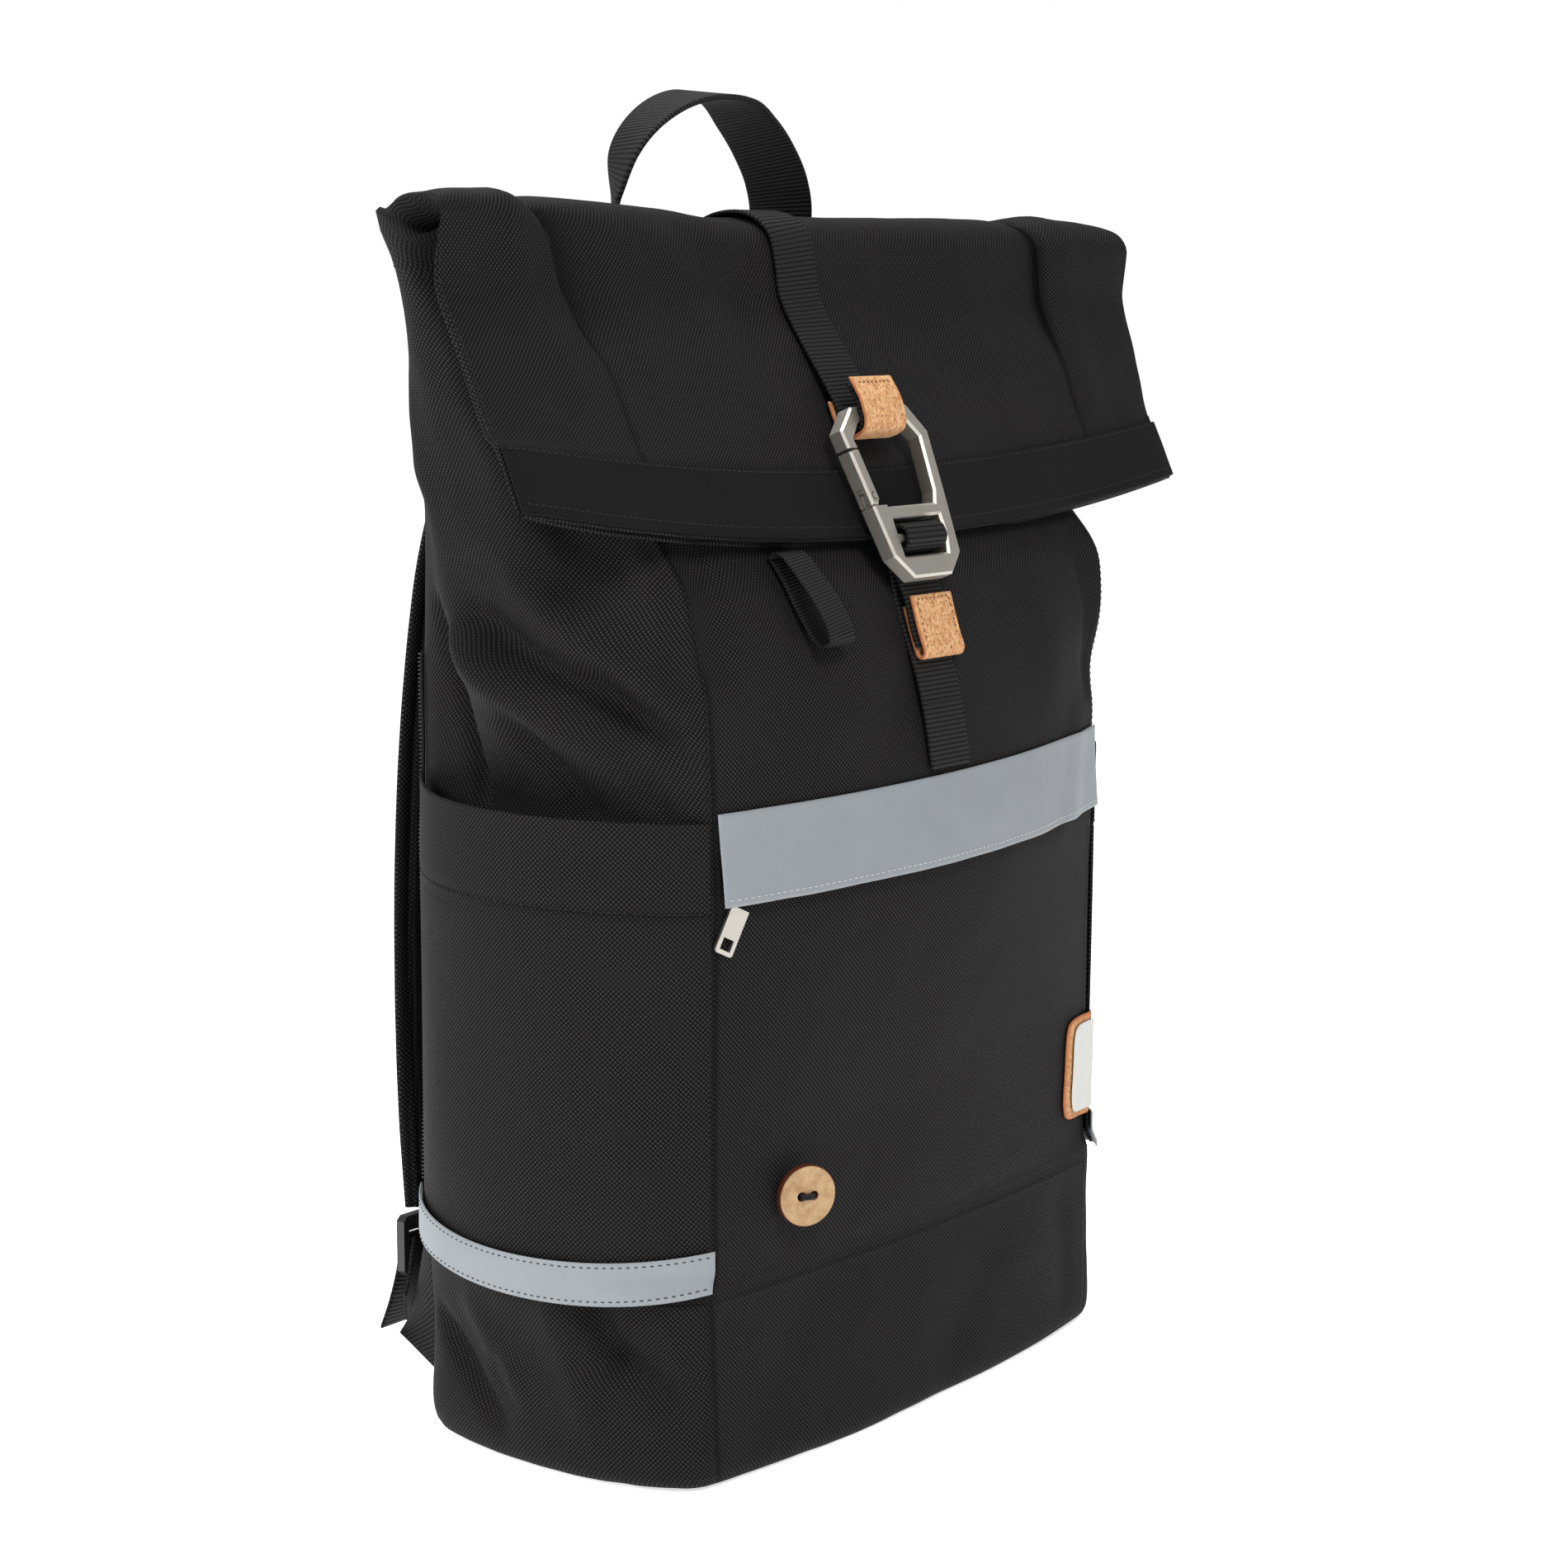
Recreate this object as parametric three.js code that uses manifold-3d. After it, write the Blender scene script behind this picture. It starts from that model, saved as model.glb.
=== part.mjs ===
import * as THREE from "three";
import { mergeVertices } from "three/addons/utils/BufferGeometryUtils.js";
import Module from "manifold-3d";

// Roll-top cycling backpack standing on its base.
// Millimetres. X runs left to right seen from the front, the front faces -Y, +Z is up.
// The origin is on the floor under the middle of the base.

const wasm = await Module();
wasm.setup();
const V = (x, y, z) => new THREE.Vector3(x, y, z);

// Driving sizes.
const wall = 1.6;                 // cloth wall of the bag, doubled oxford cloth with its lining
const fit = 0.4;                  // clearance between a piece and the piece that carries it
const frontHalf = 124;            // front panel, middle to side seam
const sideHalf = 157;             // middle to the fullest place of the side
const backHalf = 132;             // back panel, middle to side seam
const flapHalf = 209;             // half the width of the flattened roll top
const flapSeam = 145;             // the side seams on the flattened roll top
const flapThick = 7;              // both layers of the folded flap
const lowerSeamZ = 72;            // seam between the base cloth and the panels
const webbingWidth = 25;
const webbingThick = 1.5;
const clothThick = 1.4;           // pocket, facing and tab cloth
const stripTop = 251;             // reflective flap over the front zip
const stripHeight = 33;
const stripTilt = 3;              // its right end sits this much higher than the middle
const stripEdgeLift = 3.6;        // stand-off of its loose lower edge
const sideStripHeight = 15.5;
const pocketMouthZ = 250;
const pocketGape = 13;            // how far the mouth stands off the side panel
const buttonSize = 23;
const buttonThick = 4;
const strapWidth = 58;            // padded shoulder strap at its widest
const strapThick = 11;
const clipThick = 7;              // snap hook, front to back
const strapX = -6;                // the closing strap hangs a little off the middle

// The bag as a tube of cloth: one row per cross-section.
// Around a section: front panel, side panel, back panel, side panel.
// y and z place the row; turn is the angle the section has tipped over the fold.
// fx, fd: front seam; fc: front middle; sx: side middle; round: how square the side is;
// bx, bd: back seam; bc: back middle.
// liftL, liftR: how much the left and right ends rise above the middle; outL, outR: how far they lie back.
const columns = "y z turn fx fd fc sx round bx bd bc liftL liftR outL outR".split(" ");
const sectionTable = [
  [0, 0, 0, frontHalf - 5, -63, -72.5, sideHalf - 12, 0.52, backHalf - 10, 59, 61, 0, 0, 0, 0],
  [0, 3.5, 0, frontHalf - 1, -66.5, -75.5, sideHalf - 8, 0.52, backHalf - 6, 63, 65, 0, 0, 0, 0],
  [0, 12, 0, frontHalf + 0.5, -67.5, -76.5, sideHalf - 6, 0.55, backHalf - 4, 64.5, 67, 0, 0, 0, 0],
  [0, 40, 0, frontHalf + 1.5, -67.5, -76, sideHalf - 5, 0.7, backHalf - 2, 64.5, 67, 0, 0, 0, 0],
  [0, lowerSeamZ, 0, frontHalf + 3, -67.5, -73, sideHalf - 1, 0.85, backHalf, 64.5, 67, 0, 0, 0, 0],
  [0, 84, 0, frontHalf, -66.5, -75, sideHalf, 0.9, backHalf, 64.5, 67, 0, 0, 0, 0],
  [0, 120, 0, frontHalf, -66.5, -78, sideHalf, 0.95, backHalf, 64.5, 67, 0, 0, 0, 0],
  [0, 165, 0, frontHalf, -67, -83.5, sideHalf - 1, 0.95, backHalf, 64.5, 67, 0, 0, 0, 0],
  [0, stripTop - stripHeight, 0, frontHalf, -67.5, -88, sideHalf - 4, 0.95, backHalf, 65, 68, 0, 0, 0, 0],
  [0, stripTop, 0, frontHalf + 1, -67.5, -86.5, sideHalf - 7, 0.95, backHalf, 65, 68, 0, 0, 0, 0],
  [0, 286, 0, frontHalf + 3.5, -68, -80, sideHalf - 5, 0.95, backHalf, 64.5, 68, 0, 0, 0, 0],
  [0, 320, 0, frontHalf + 7, -64, -67.5, sideHalf - 1, 0.95, backHalf - 0.5, 63, 67, 0, 0, 0, 0],
  [0, 345, 0, frontHalf + 7, -48.5, -50, sideHalf + 4, 0.95, backHalf - 1, 61, 66, 0, 0, 0, 0],
  [0, 370, 0, frontHalf + 8, -34.5, -36, sideHalf + 8, 1, backHalf - 1.5, 57, 64, 0, 0, 0, 0],
  [0, 400, 0, frontHalf + 11, -20.5, -21.5, sideHalf + 17, 1.1, backHalf + 0.5, 50.5, 58, 0, 0, 0, 0],
  [0, 425, 0, frontHalf + 15, -8.5, -9, flapHalf - 23, 1.15, backHalf + 6, 40.5, 46, 2, 0, -1, -4],
  [0, 440, 0, frontHalf + 18, -3, -3, flapHalf - 11, 1.1, backHalf + 10, 32, 36, 5, 1, -4, -8],
  [-4, 446.5, 32, flapSeam - 1, 0, 0, flapHalf - 3, 1, flapSeam - 1, 20, 18.5, 8, 2, -8, -12],
  [-7.5, 447.5, 92, flapSeam, 0, 0, flapHalf, 1, flapSeam, 10, 9.5, 9, 2, -10, -15],
  [-9.8, 443.5, 140, flapSeam, 0, 0, flapHalf, 1, flapSeam, 7.5, 7.5, 9, 2, -7, -17],
  [-12, 425, 152, flapSeam, 0, 0, flapHalf, 1, flapSeam, flapThick, flapThick, 7, 3, -1, -13],
  [-26.8, 396, 152, flapSeam, 0, 0, flapHalf, 1, flapSeam, flapThick, flapThick, 7, 5, 1, -5],
  [-38.6, 371.6, 154, flapSeam, 0, 0, flapHalf, 1, flapSeam, flapThick, flapThick, 10, 9, 3, 2],
  [-43.8, 360.2, 155, flapSeam, 0, 0, flapHalf, 1, flapSeam, flapThick, flapThick, 17, 12, 4, 4],
  [-54.6, 336, 157, flapSeam, 0, 0, flapHalf, 1, flapSeam, flapThick, flapThick, 19.5, 14, 5, 5],
];
const sections = sectionTable.map((row) => Object.fromEntries(columns.map((c, i) => [c, row[i]])));
const uprightSections = 17;

// Dents and swells of the standing cloth: around, height, reach around, reach up, depth inwards.
const dents = [
  { name: "left side sucked in by the back zip", k: 40.5, z: 312, dk: 2.4, dz: 46, depth: 9 },
  { name: "left side swell above the pocket", k: 46.5, z: 296, dk: 2.6, dz: 34, depth: -6 },
  { name: "left side hollow in the pocket mouth", k: 43.5, z: 246, dk: 2.6, dz: 26, depth: 6 },
  { name: "left fold under the side strip, front", k: 49, z: 46, dk: 1.6, dz: 20, depth: 4 },
  { name: "left fold under the side strip, rear", k: 42, z: 40, dk: 1.8, dz: 22, depth: 4 },
  { name: "right front seam pinched above the strip", k: 8.4, z: 280, dk: 1.4, dz: 12, depth: 2 },
  { name: "right front swell below the flap", k: 9.2, z: 322, dk: 1.8, dz: 24, depth: -3.5 },
  { name: "right side hollow in the pocket mouth", k: 16, z: 246, dk: 2.8, dz: 26, depth: 5 },
  { name: "right side swell above the pocket", k: 13, z: 300, dk: 2.6, dz: 34, depth: -4 },
  { name: "front sag between the strip and the base", k: 57, z: 120, dk: 2.5, dz: 26, depth: 1.5 },
];

// Points around a section: half of the front, a side, the back, a side, half of the front.
const frontSteps = 8;
const sideSteps = 14;
const around = 4 * frontSteps + 2 * sideSteps;
const half = around / 2;
const backSeam = frontSteps + sideSteps;

function sectionPoint(s, kAll, inset) {
  const mirror = kAll > half;
  const k = mirror ? around - kAll : kAll;
  let x;
  let d;
  if (k <= frontSteps) {
    const t = k / frontSteps;
    x = s.fx * t;
    d = s.fd + (s.fc - s.fd) * (1 - t * t) + inset;
  } else if (k >= backSeam) {
    const t = (half - k) / frontSteps;
    x = s.bx * t;
    d = s.bd + (s.bc - s.bd) * (1 - t * t) - inset;
  } else {
    const t = (k - frontSteps) / sideSteps;
    const arch = Math.sin(Math.PI * t) ** s.round;
    const even = s.round < 0.99 && s.turn === 0 ? 0.5 : 0;
    const along = even * t + (1 - even) * (1 - Math.cos(Math.PI * t)) / 2;
    x = s.fx + (s.bx - s.fx) * t + (s.sx - inset - (s.fx + s.bx) / 2) * arch;
    d = s.fd + inset + (s.bd - s.fd - 2 * inset) * along;
  }
  return [mirror ? -x : x, d];
}

function dentDepth(k, z) {
  let sum = 0;
  for (const q of dents) {
    const a = (k - q.k) / q.dk;
    const b = (z - q.z) / q.dz;
    sum += q.depth * Math.exp(-(a * a + b * b));
  }
  return sum;
}

function place(s, k, inset) {
  const [x, d] = sectionPoint(s, k, inset);
  const turn = THREE.MathUtils.degToRad(s.turn);
  const end = (x / flapHalf) ** 2;
  const rise = (x < 0 ? s.liftL : s.liftR) * end;
  const out = (x < 0 ? s.outL : s.outR) * end;
  const p = V(x, s.y + Math.cos(turn) * d + out, s.z + Math.sin(turn) * d + rise);
  if (s.turn === 0) {
    const [ax, ad] = sectionPoint(s, (k + 0.5) % around, 0);
    const [bx, bd] = sectionPoint(s, (k + around - 0.5) % around, 0);
    const n = V(ad - bd, bx - ax, 0).normalize();
    p.addScaledVector(n, -dentDepth(k, s.z));
  }
  return p;
}

const outerRings = sections.map((s) => Array.from({ length: around }, (_, k) => place(s, k, 0)));
const innerRings = sections.map((s, i) =>
  Array.from({ length: around }, (_, k) => {
    const p = place(s, k, wall);
    if (i === 0) p.z = wall;
    if (i === 1) p.z += 0.6;
    return p;
  }));

// A closed mesh from points and faces.
function solid(points, faces) {
  const g = new THREE.BufferGeometry();
  g.setAttribute("position", new THREE.Float32BufferAttribute(points.flatMap((p) => [p.x, p.y, p.z]), 3));
  g.setIndex(faces.flat());
  return g;
}

// Surface of the bag, for the pieces that lie on it.
function ringPoint(i, k) {
  const k0 = Math.floor(k);
  const a = outerRings[i][((k0 % around) + around) % around];
  const b = outerRings[i][(((k0 + 1) % around) + around) % around];
  return a.clone().lerp(b, k - k0);
}

function rowOf(z) {
  let i = 0;
  while (i < uprightSections - 2 && sections[i + 1].z < z) i += 1;
  return i + (z - sections[i].z) / (sections[i + 1].z - sections[i].z);
}

function skinAtRow(row, k) {
  const i = Math.min(Math.floor(row), outerRings.length - 2);
  return ringPoint(i, k).lerp(ringPoint(i + 1, k), row - i);
}

function skinNormal(row, k) {
  const last = outerRings.length - 1;
  const r0 = Math.max(row - 0.35, 0);
  const r1 = Math.min(row + 0.35, last - 1e-6);
  const up = skinAtRow(r1, k).sub(skinAtRow(r0, k));
  const on = skinAtRow(row, k + 0.35).sub(skinAtRow(row, k - 0.35));
  return on.cross(up).normalize();
}

const skin = (z, k) => skinAtRow(rowOf(z), k);
const skinN = (z, k) => skinNormal(rowOf(z), k);

// Place around the front panel of a point x from the middle.
const frontK = (x) => (frontSteps * x) / frontHalf;

// A sheet of varying stand-off: at(i, j) gives the middle point p, its direction n and the two faces a, b.
function sheet(rows, cols, at, closed = false) {
  const points = [];
  const faces = [];
  for (let i = 0; i < rows; i += 1) {
    for (let j = 0; j < cols; j += 1) {
      const { p, n, a, b } = at(i, j);
      points.push(p.clone().addScaledVector(n, a), p.clone().addScaledVector(n, b));
    }
  }
  const id = (i, j, side) => 2 * ((i % rows) * cols + j) + side;
  const spans = closed ? rows : rows - 1;
  for (let i = 0; i < spans; i += 1) {
    for (let j = 0; j < cols - 1; j += 1) {
      faces.push([id(i, j, 1), id(i, j + 1, 1), id(i + 1, j + 1, 1)]);
      faces.push([id(i, j, 1), id(i + 1, j + 1, 1), id(i + 1, j, 1)]);
      faces.push([id(i, j, 0), id(i + 1, j + 1, 0), id(i, j + 1, 0)]);
      faces.push([id(i, j, 0), id(i + 1, j, 0), id(i + 1, j + 1, 0)]);
    }
    faces.push([id(i, 0, 0), id(i, 0, 1), id(i + 1, 0, 1)]);
    faces.push([id(i, 0, 0), id(i + 1, 0, 1), id(i + 1, 0, 0)]);
    const e = cols - 1;
    faces.push([id(i, e, 0), id(i + 1, e, 1), id(i, e, 1)]);
    faces.push([id(i, e, 0), id(i + 1, e, 0), id(i + 1, e, 1)]);
  }
  if (!closed) {
    const l = rows - 1;
    for (let j = 0; j < cols - 1; j += 1) {
      faces.push([id(0, j, 0), id(0, j + 1, 0), id(0, j + 1, 1)]);
      faces.push([id(0, j, 0), id(0, j + 1, 1), id(0, j, 1)]);
      faces.push([id(l, j, 0), id(l, j + 1, 1), id(l, j + 1, 0)]);
      faces.push([id(l, j, 0), id(l, j, 1), id(l, j + 1, 1)]);
    }
  }
  return solid(points, faces);
}

// Turns the faces round when a sheet came out inside out.
function outward(g) {
  const p = g.getAttribute("position");
  const ix = g.index.array;
  let volume = 0;
  const a = V();
  const b = V();
  const c = V();
  for (let i = 0; i < ix.length; i += 3) {
    a.fromBufferAttribute(p, ix[i]);
    b.fromBufferAttribute(p, ix[i + 1]);
    c.fromBufferAttribute(p, ix[i + 2]);
    volume += a.dot(b.cross(c));
  }
  if (volume < 0) for (let i = 0; i < ix.length; i += 3) [ix[i + 1], ix[i + 2]] = [ix[i + 2], ix[i + 1]];
  return g;
}

// Pieces.
const group = new THREE.Group();
const looks = {
  oxford: [0x1f1e1f, 0.92, 0],
  tape: [0x161616, 0.85, 0],
  webbing: [0x151515, 0.8, 0],
  reflective: [0xa2a8ac, 0.45, 0.1],
  cork: [0xcf9b68, 0.85, 0],
  nickel: [0xada799, 0.34, 1],
  coconut: [0xcdb48a, 0.6, 0],
  paper: [0xebe8df, 0.8, 0],
  plastic: [0x1b1b1c, 0.45, 0],
  thread: [0x2a221c, 0.9, 0],
};

function add(name, geometry, look) {
  const [color, roughness, metalness] = looks[look];
  const material = new THREE.MeshStandardMaterial({ color, roughness, metalness });
  const mesh = new THREE.Mesh(geometry, material);
  mesh.name = name;
  group.add(mesh);
  return mesh;
}

function asManifold(geometry) {
  const g = geometry.clone();
  g.deleteAttribute("normal");
  g.deleteAttribute("uv");
  const merged = mergeVertices(g, 1e-4);
  return new wasm.Manifold(new wasm.Mesh({
    numProp: 3,
    vertProperties: new Float32Array(merged.attributes.position.array),
    triVerts: new Uint32Array(merged.index.array),
  }));
}

function fromManifold(m) {
  const mesh = m.getMesh();
  const g = new THREE.BufferGeometry();
  g.setAttribute("position", new THREE.Float32BufferAttribute(mesh.vertProperties, 3));
  g.setIndex(new THREE.Uint32BufferAttribute(mesh.triVerts, 1));
  return g;
}

// The bag itself: outer cloth, the same cloth inside, a closed floor and the open mouth at the hem.
function bagShell() {
  const points = [...outerRings.flat(), ...innerRings.flat(), V(0, 0, 0), V(0, 0, wall)];
  const faces = [];
  const n = sections.length;
  const o = (i, k) => i * around + (k % around);
  const q = (i, k) => n * around + o(i, k);
  for (let i = 0; i < n - 1; i += 1) {
    for (let k = 0; k < around; k += 1) {
      faces.push([o(i, k), o(i, k + 1), o(i + 1, k + 1)], [o(i, k), o(i + 1, k + 1), o(i + 1, k)]);
      faces.push([q(i, k), q(i + 1, k + 1), q(i, k + 1)], [q(i, k), q(i + 1, k), q(i + 1, k + 1)]);
    }
  }
  const floorOut = 2 * n * around;
  const floorIn = floorOut + 1;
  for (let k = 0; k < around; k += 1) {
    faces.push([o(0, k + 1), o(0, k), floorOut]);
    faces.push([q(0, k), q(0, k + 1), floorIn]);
    faces.push([o(n - 1, k), o(n - 1, k + 1), q(n - 1, k + 1)]);
    faces.push([o(n - 1, k), q(n - 1, k + 1), q(n - 1, k)]);
  }
  return solid(points, faces);
}
add("body_shell", bagShell(), "oxford");

// Facing band along the hem of the flap, on its outer layer from edge to edge.
const hemRows = [sections.length - 2.02, sections.length - 1.5, sections.length - 1.001];
const hemFrom = frontSteps + sideSteps / 2;
const hemSteps = 30;
add("hem_band", outward(sheet(hemRows.length, hemSteps + 1, (i, j) => {
  const k = Math.min(Math.max(hemFrom + j, hemFrom + 0.6), around - hemFrom - 0.6);
  return { p: skinAtRow(hemRows[i], k), n: skinNormal(hemRows[i], k), a: fit, b: fit + clothThick };
})), "tape");

// Side pockets: k runs from the front seam to the back seam, the mouth sags and gapes.
const mouthFront = pocketMouthZ - 5;
const mouthBow = 2;
const mouthRise = 9;
const pocketFoot = 76;
function mouthZ(t) {
  return mouthFront + mouthBow * Math.sin(Math.PI * t) + mouthRise * t ** 4;
}
const pocketLevels = [pocketFoot, 84, 120, 165, stripTop - stripHeight];
function pocket(side) {
  const rows = pocketLevels.length + 2;
  const cols = sideSteps + 1;
  const margin = 0.25;
  const backMargin = 0.95;
  return outward(sheet(rows, cols, (i, j) => {
    const last = sideSteps - backMargin;
    const k0 = frontSteps + Math.min(Math.max(j, margin), j === cols - 1 ? last : last - 0.3);
    const t = (k0 - frontSteps - margin) / (last - margin);
    const k = side > 0 ? k0 : around - k0;
    const level = pocketLevels.length - 1;
    const top = pocketLevels[level];
    const z = i <= level ? pocketLevels[i] : top + ((mouthZ(t) - top) * (i - level)) / 2;
    const up = (z - pocketFoot) / (mouthZ(t) - pocketFoot);
    const gape = pocketGape * Math.sin(Math.PI * t) ** 1.2 * (0.18 * Math.min(1, up * 5) + 0.82 * up ** 2.2);
    const a = fit + gape;
    return { p: skin(z, k), n: skinN(z, k), a, b: a + clothThick };
  }));
}
add("side_pocket_right", pocket(1), "oxford");
add("side_pocket_left", pocket(-1), "oxford");

// Reflective strips sewn over the feet of the pockets.
const sideStripFoot = lowerSeamZ + 2.5;
const sideStripThick = 0.9;
function sideStrip(side) {
  const rows = 3;
  const cols = 15;
  return outward(sheet(rows, cols, (i, j) => {
    const k0 = frontSteps + Math.min(Math.max(j, 0.12), sideSteps - 0.18);
    const t = (k0 - frontSteps) / sideSteps;
    const k = side > 0 ? k0 : around - k0;
    const sag = -5 * Math.sin(Math.PI * t) + 5 * t ** 3;
    const z = sideStripFoot + sag + (sideStripHeight * i) / (rows - 1);
    const over = fit + clothThick + fit + 1.2 * Math.sin(Math.PI * t) + 0.3;
    return { p: skin(z, k), n: skinN(z, k), a: over, b: over + sideStripThick };
  }));
}
add("side_strip_right", sideStrip(1), "reflective");
add("side_strip_left", sideStrip(-1), "reflective");

// Reflective flap over the front zip: sewn along its top edge, loose along its foot.
add("front_strip", outward(sheet(5, 17, (i, j) => {
  const up = i / 4;
  const k = -frontSteps + 0.06 + ((2 * frontSteps - 0.12) * j) / 16;
  const z = stripTop + (stripTilt * k) / frontSteps - stripHeight * (1 - up);
  const held = 1 - 0.8 * Math.max(0, k / frontSteps) ** 3;
  const a = fit + (stripEdgeLift - fit) * (1 - up) ** 1.4 * held;
  return { p: skin(z, k), n: skinN(z, k), a, b: a + 1 };
})), "reflective");

// Ribbon of webbing that keeps its width along X: path points are [y, z] of its middle line.
function normals2(path, closed) {
  const n = path.length;
  return path.map((p, i) => {
    const a = path[closed ? (i + n - 1) % n : Math.max(i - 1, 0)];
    const b = path[closed ? (i + 1) % n : Math.min(i + 1, n - 1)];
    const d = V(0, b[0] - a[0], b[1] - a[1]).normalize();
    return V(0, -d.z, d.y);
  });
}
function ribbonX(path, width, thick, x = () => 0, closed = false) {
  const ns = normals2(path, closed);
  return outward(sheet(path.length, 2, (i, j) => ({
    p: V(x(i) + (j - 0.5) * width, path[i][0], path[i][1]),
    n: ns[i],
    a: -thick / 2,
    b: thick / 2,
  }), closed));
}

// Middle line of the flap's outer face, stood off by a distance.
function flapLine(row, off) {
  const p = skinAtRow(row, half);
  p.addScaledVector(skinNormal(row, half), off);
  return [p.y, p.z];
}

// Snap hook on the flap: it hangs in a plane that leans with the flap.
const clipFootY = -76;
const clipFootZ = 323.5;
const clipLean = THREE.MathUtils.degToRad(22.6);
const clipUp = V(0, Math.sin(clipLean), Math.cos(clipLean));
const clipOut = V(0, -Math.cos(clipLean), Math.sin(clipLean));
const clipFoot = V(strapX, clipFootY, clipFootZ);
const clipMatrix = new THREE.Matrix4().makeBasis(V(1, 0, 0), clipUp, clipOut).setPosition(clipFoot);

// Outline of the hook in its own plane: x across, s up from its foot.
const hookHeight = 68;
const hookBar = 6.2;
const gateLow = 29;
const gateHigh = 52;
const hookOutline = [
  ["foot left", -12, 0], ["foot right", 12.5, 0], ["corner right", 22, 8], ["side right", 24.5, 32],
  ["shoulder right", 26.5, 57], ["head right", 18, hookHeight], ["head left", -18, hookHeight],
  ["shoulder left", -28.5, 59], ["side left", -25.5, 40], ["corner left", -20.5, 9],
];
const slotFoot = 8.6;
const slotTop = 23.6;
const midBarLow = 14.4;
const midBarHigh = 17.6;
const windowFoot = 28.4;

function polygon(list) {
  return new THREE.Shape(list.map(([x, s]) => new THREE.Vector2(x, s)));
}
// Left edge of the outline at a height.
function leftEdge(s) {
  const e = [hookOutline[9], hookOutline[8], hookOutline[7]];
  const at = s < e[1][2] ? [e[0], e[1]] : [e[1], e[2]];
  return at[0][1] + ((at[1][1] - at[0][1]) * (s - at[0][2])) / (at[1][2] - at[0][2]);
}
const bevel = 0.9;
const bevelled = {
  depth: clipThick - 2 * bevel, bevelEnabled: true, bevelThickness: bevel, bevelSize: bevel,
  bevelOffset: -bevel, bevelSegments: 1, steps: 1, curveSegments: 6,
};
const square = (depth) => ({ depth, bevelEnabled: false, steps: 1, curveSegments: 8 });
function extrude(shape, options, z) {
  const g = new THREE.ExtrudeGeometry(shape, options);
  g.translate(0, 0, z);
  return g;
}
function windowPath(list) {
  return new THREE.Path(list.map(([x, s]) => new THREE.Vector2(x, s)));
}
function boxAt(x0, x1, s0, s1, d0, d1) {
  const g = new THREE.BoxGeometry(x1 - x0, s1 - s0, d1 - d0);
  g.translate((x0 + x1) / 2, (s0 + s1) / 2, (d0 + d1) / 2);
  return g;
}

const slotHalf = 13.9;
const hookShape = polygon(hookOutline.map(([, x, s]) => [x, s]));
hookShape.holes.push(windowPath([
  [-14.5, windowFoot], [-22.2, 55.5], [-15.5, hookHeight - hookBar],
  [14.5, hookHeight - hookBar], [20.2, 55], [18, windowFoot + 5], [15.5, windowFoot],
]));
hookShape.holes.push(windowPath([
  [-slotHalf, midBarHigh], [-slotHalf, slotTop], [slotHalf + 2.4, slotTop], [slotHalf + 2.4, midBarHigh],
]));
hookShape.holes.push(windowPath([
  [-slotHalf, slotFoot], [-slotHalf, midBarLow], [slotHalf + 2, midBarLow], [slotHalf, slotFoot],
]));

const gateGap = 0.35;
const pivotX = leftEdge(gateLow + 4) + 3.1;
const pivotS = gateLow + 4;
const pivotRadius = 1.2;
const tongueThick = 2.4;
function gateSolid() {
  const s0 = gateLow + gateGap;
  const s1 = gateHigh - gateGap;
  const shape = polygon([
    [leftEdge(s0), s0], [leftEdge(s0) + 4, s0], [leftEdge(s0) + 5.6, s0 + 2.2],
    [leftEdge(s1) + 6, s1], [leftEdge(s1) + 3, s1 - 0.25], [leftEdge(s1 - 0.9), s1 - 0.9],
  ]);
  const bar = asManifold(extrude(shape, bevelled, bevel - clipThick / 2));
  const forkTop = pivotS + 3.4;
  const forkHalf = tongueThick / 2 + gateGap;
  const fork = asManifold(boxAt(-40, 0, gateLow - 2, forkTop, -forkHalf, forkHalf));
  const hole = new THREE.CylinderGeometry(pivotRadius + gateGap, pivotRadius + gateGap, 30, 16);
  hole.rotateX(Math.PI / 2).translate(pivotX, pivotS, 0);
  return bar.subtract(fork).subtract(asManifold(hole));
}
function hookSolid() {
  const plate = asManifold(extrude(hookShape, bevelled, bevel - clipThick / 2));
  const left = polygon([
    [-40, gateLow], [leftEdge(gateLow) + 9.6, gateLow], [leftEdge(gateHigh) + 7.6, gateHigh], [-40, gateHigh],
  ]);
  const gap = asManifold(extrude(left, square(30), -15));
  const tongue = asManifold(extrude(polygon([
    [leftEdge(gateLow) + 0.6, gateLow - 1.5], [leftEdge(gateLow) + 5.2, gateLow - 1.5],
    [pivotX + 2.1, pivotS + 1], [pivotX + 1, pivotS + 2.3],
    [pivotX - 1, pivotS + 2.3], [pivotX - 2.1, pivotS + 1],
  ]), square(tongueThick), -tongueThick / 2));
  const pin = new THREE.CylinderGeometry(pivotRadius, pivotRadius, clipThick + 0.5, 16);
  pin.rotateX(Math.PI / 2).translate(pivotX, pivotS, 0);
  return plate.subtract(gap).add(tongue).add(asManifold(pin));
}
const hookMesh = fromManifold(hookSolid());
hookMesh.applyMatrix4(clipMatrix);
add("carabiner_frame", hookMesh, "nickel");
const gateMesh = fromManifold(gateSolid());
gateMesh.applyMatrix4(clipMatrix);
add("carabiner_gate", gateMesh, "nickel");

// Hook-plane point as [y, z].
function onHook(s, out) {
  const p = clipFoot.clone().addScaledVector(clipUp, s).addScaledVector(clipOut, out);
  return [p.y, p.z];
}

// Flap strap: from the back seam over the fold, down the flap, round the top bar and back up.
const strapOff = fit + webbingThick / 2;
const headMid = hookHeight - hookBar / 2;
const loopDown = hookBar / 2 + fit + webbingThick / 2 + 1;
const loopOut = clipThick / 2 + fit + webbingThick / 2 + 0.3;
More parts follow.
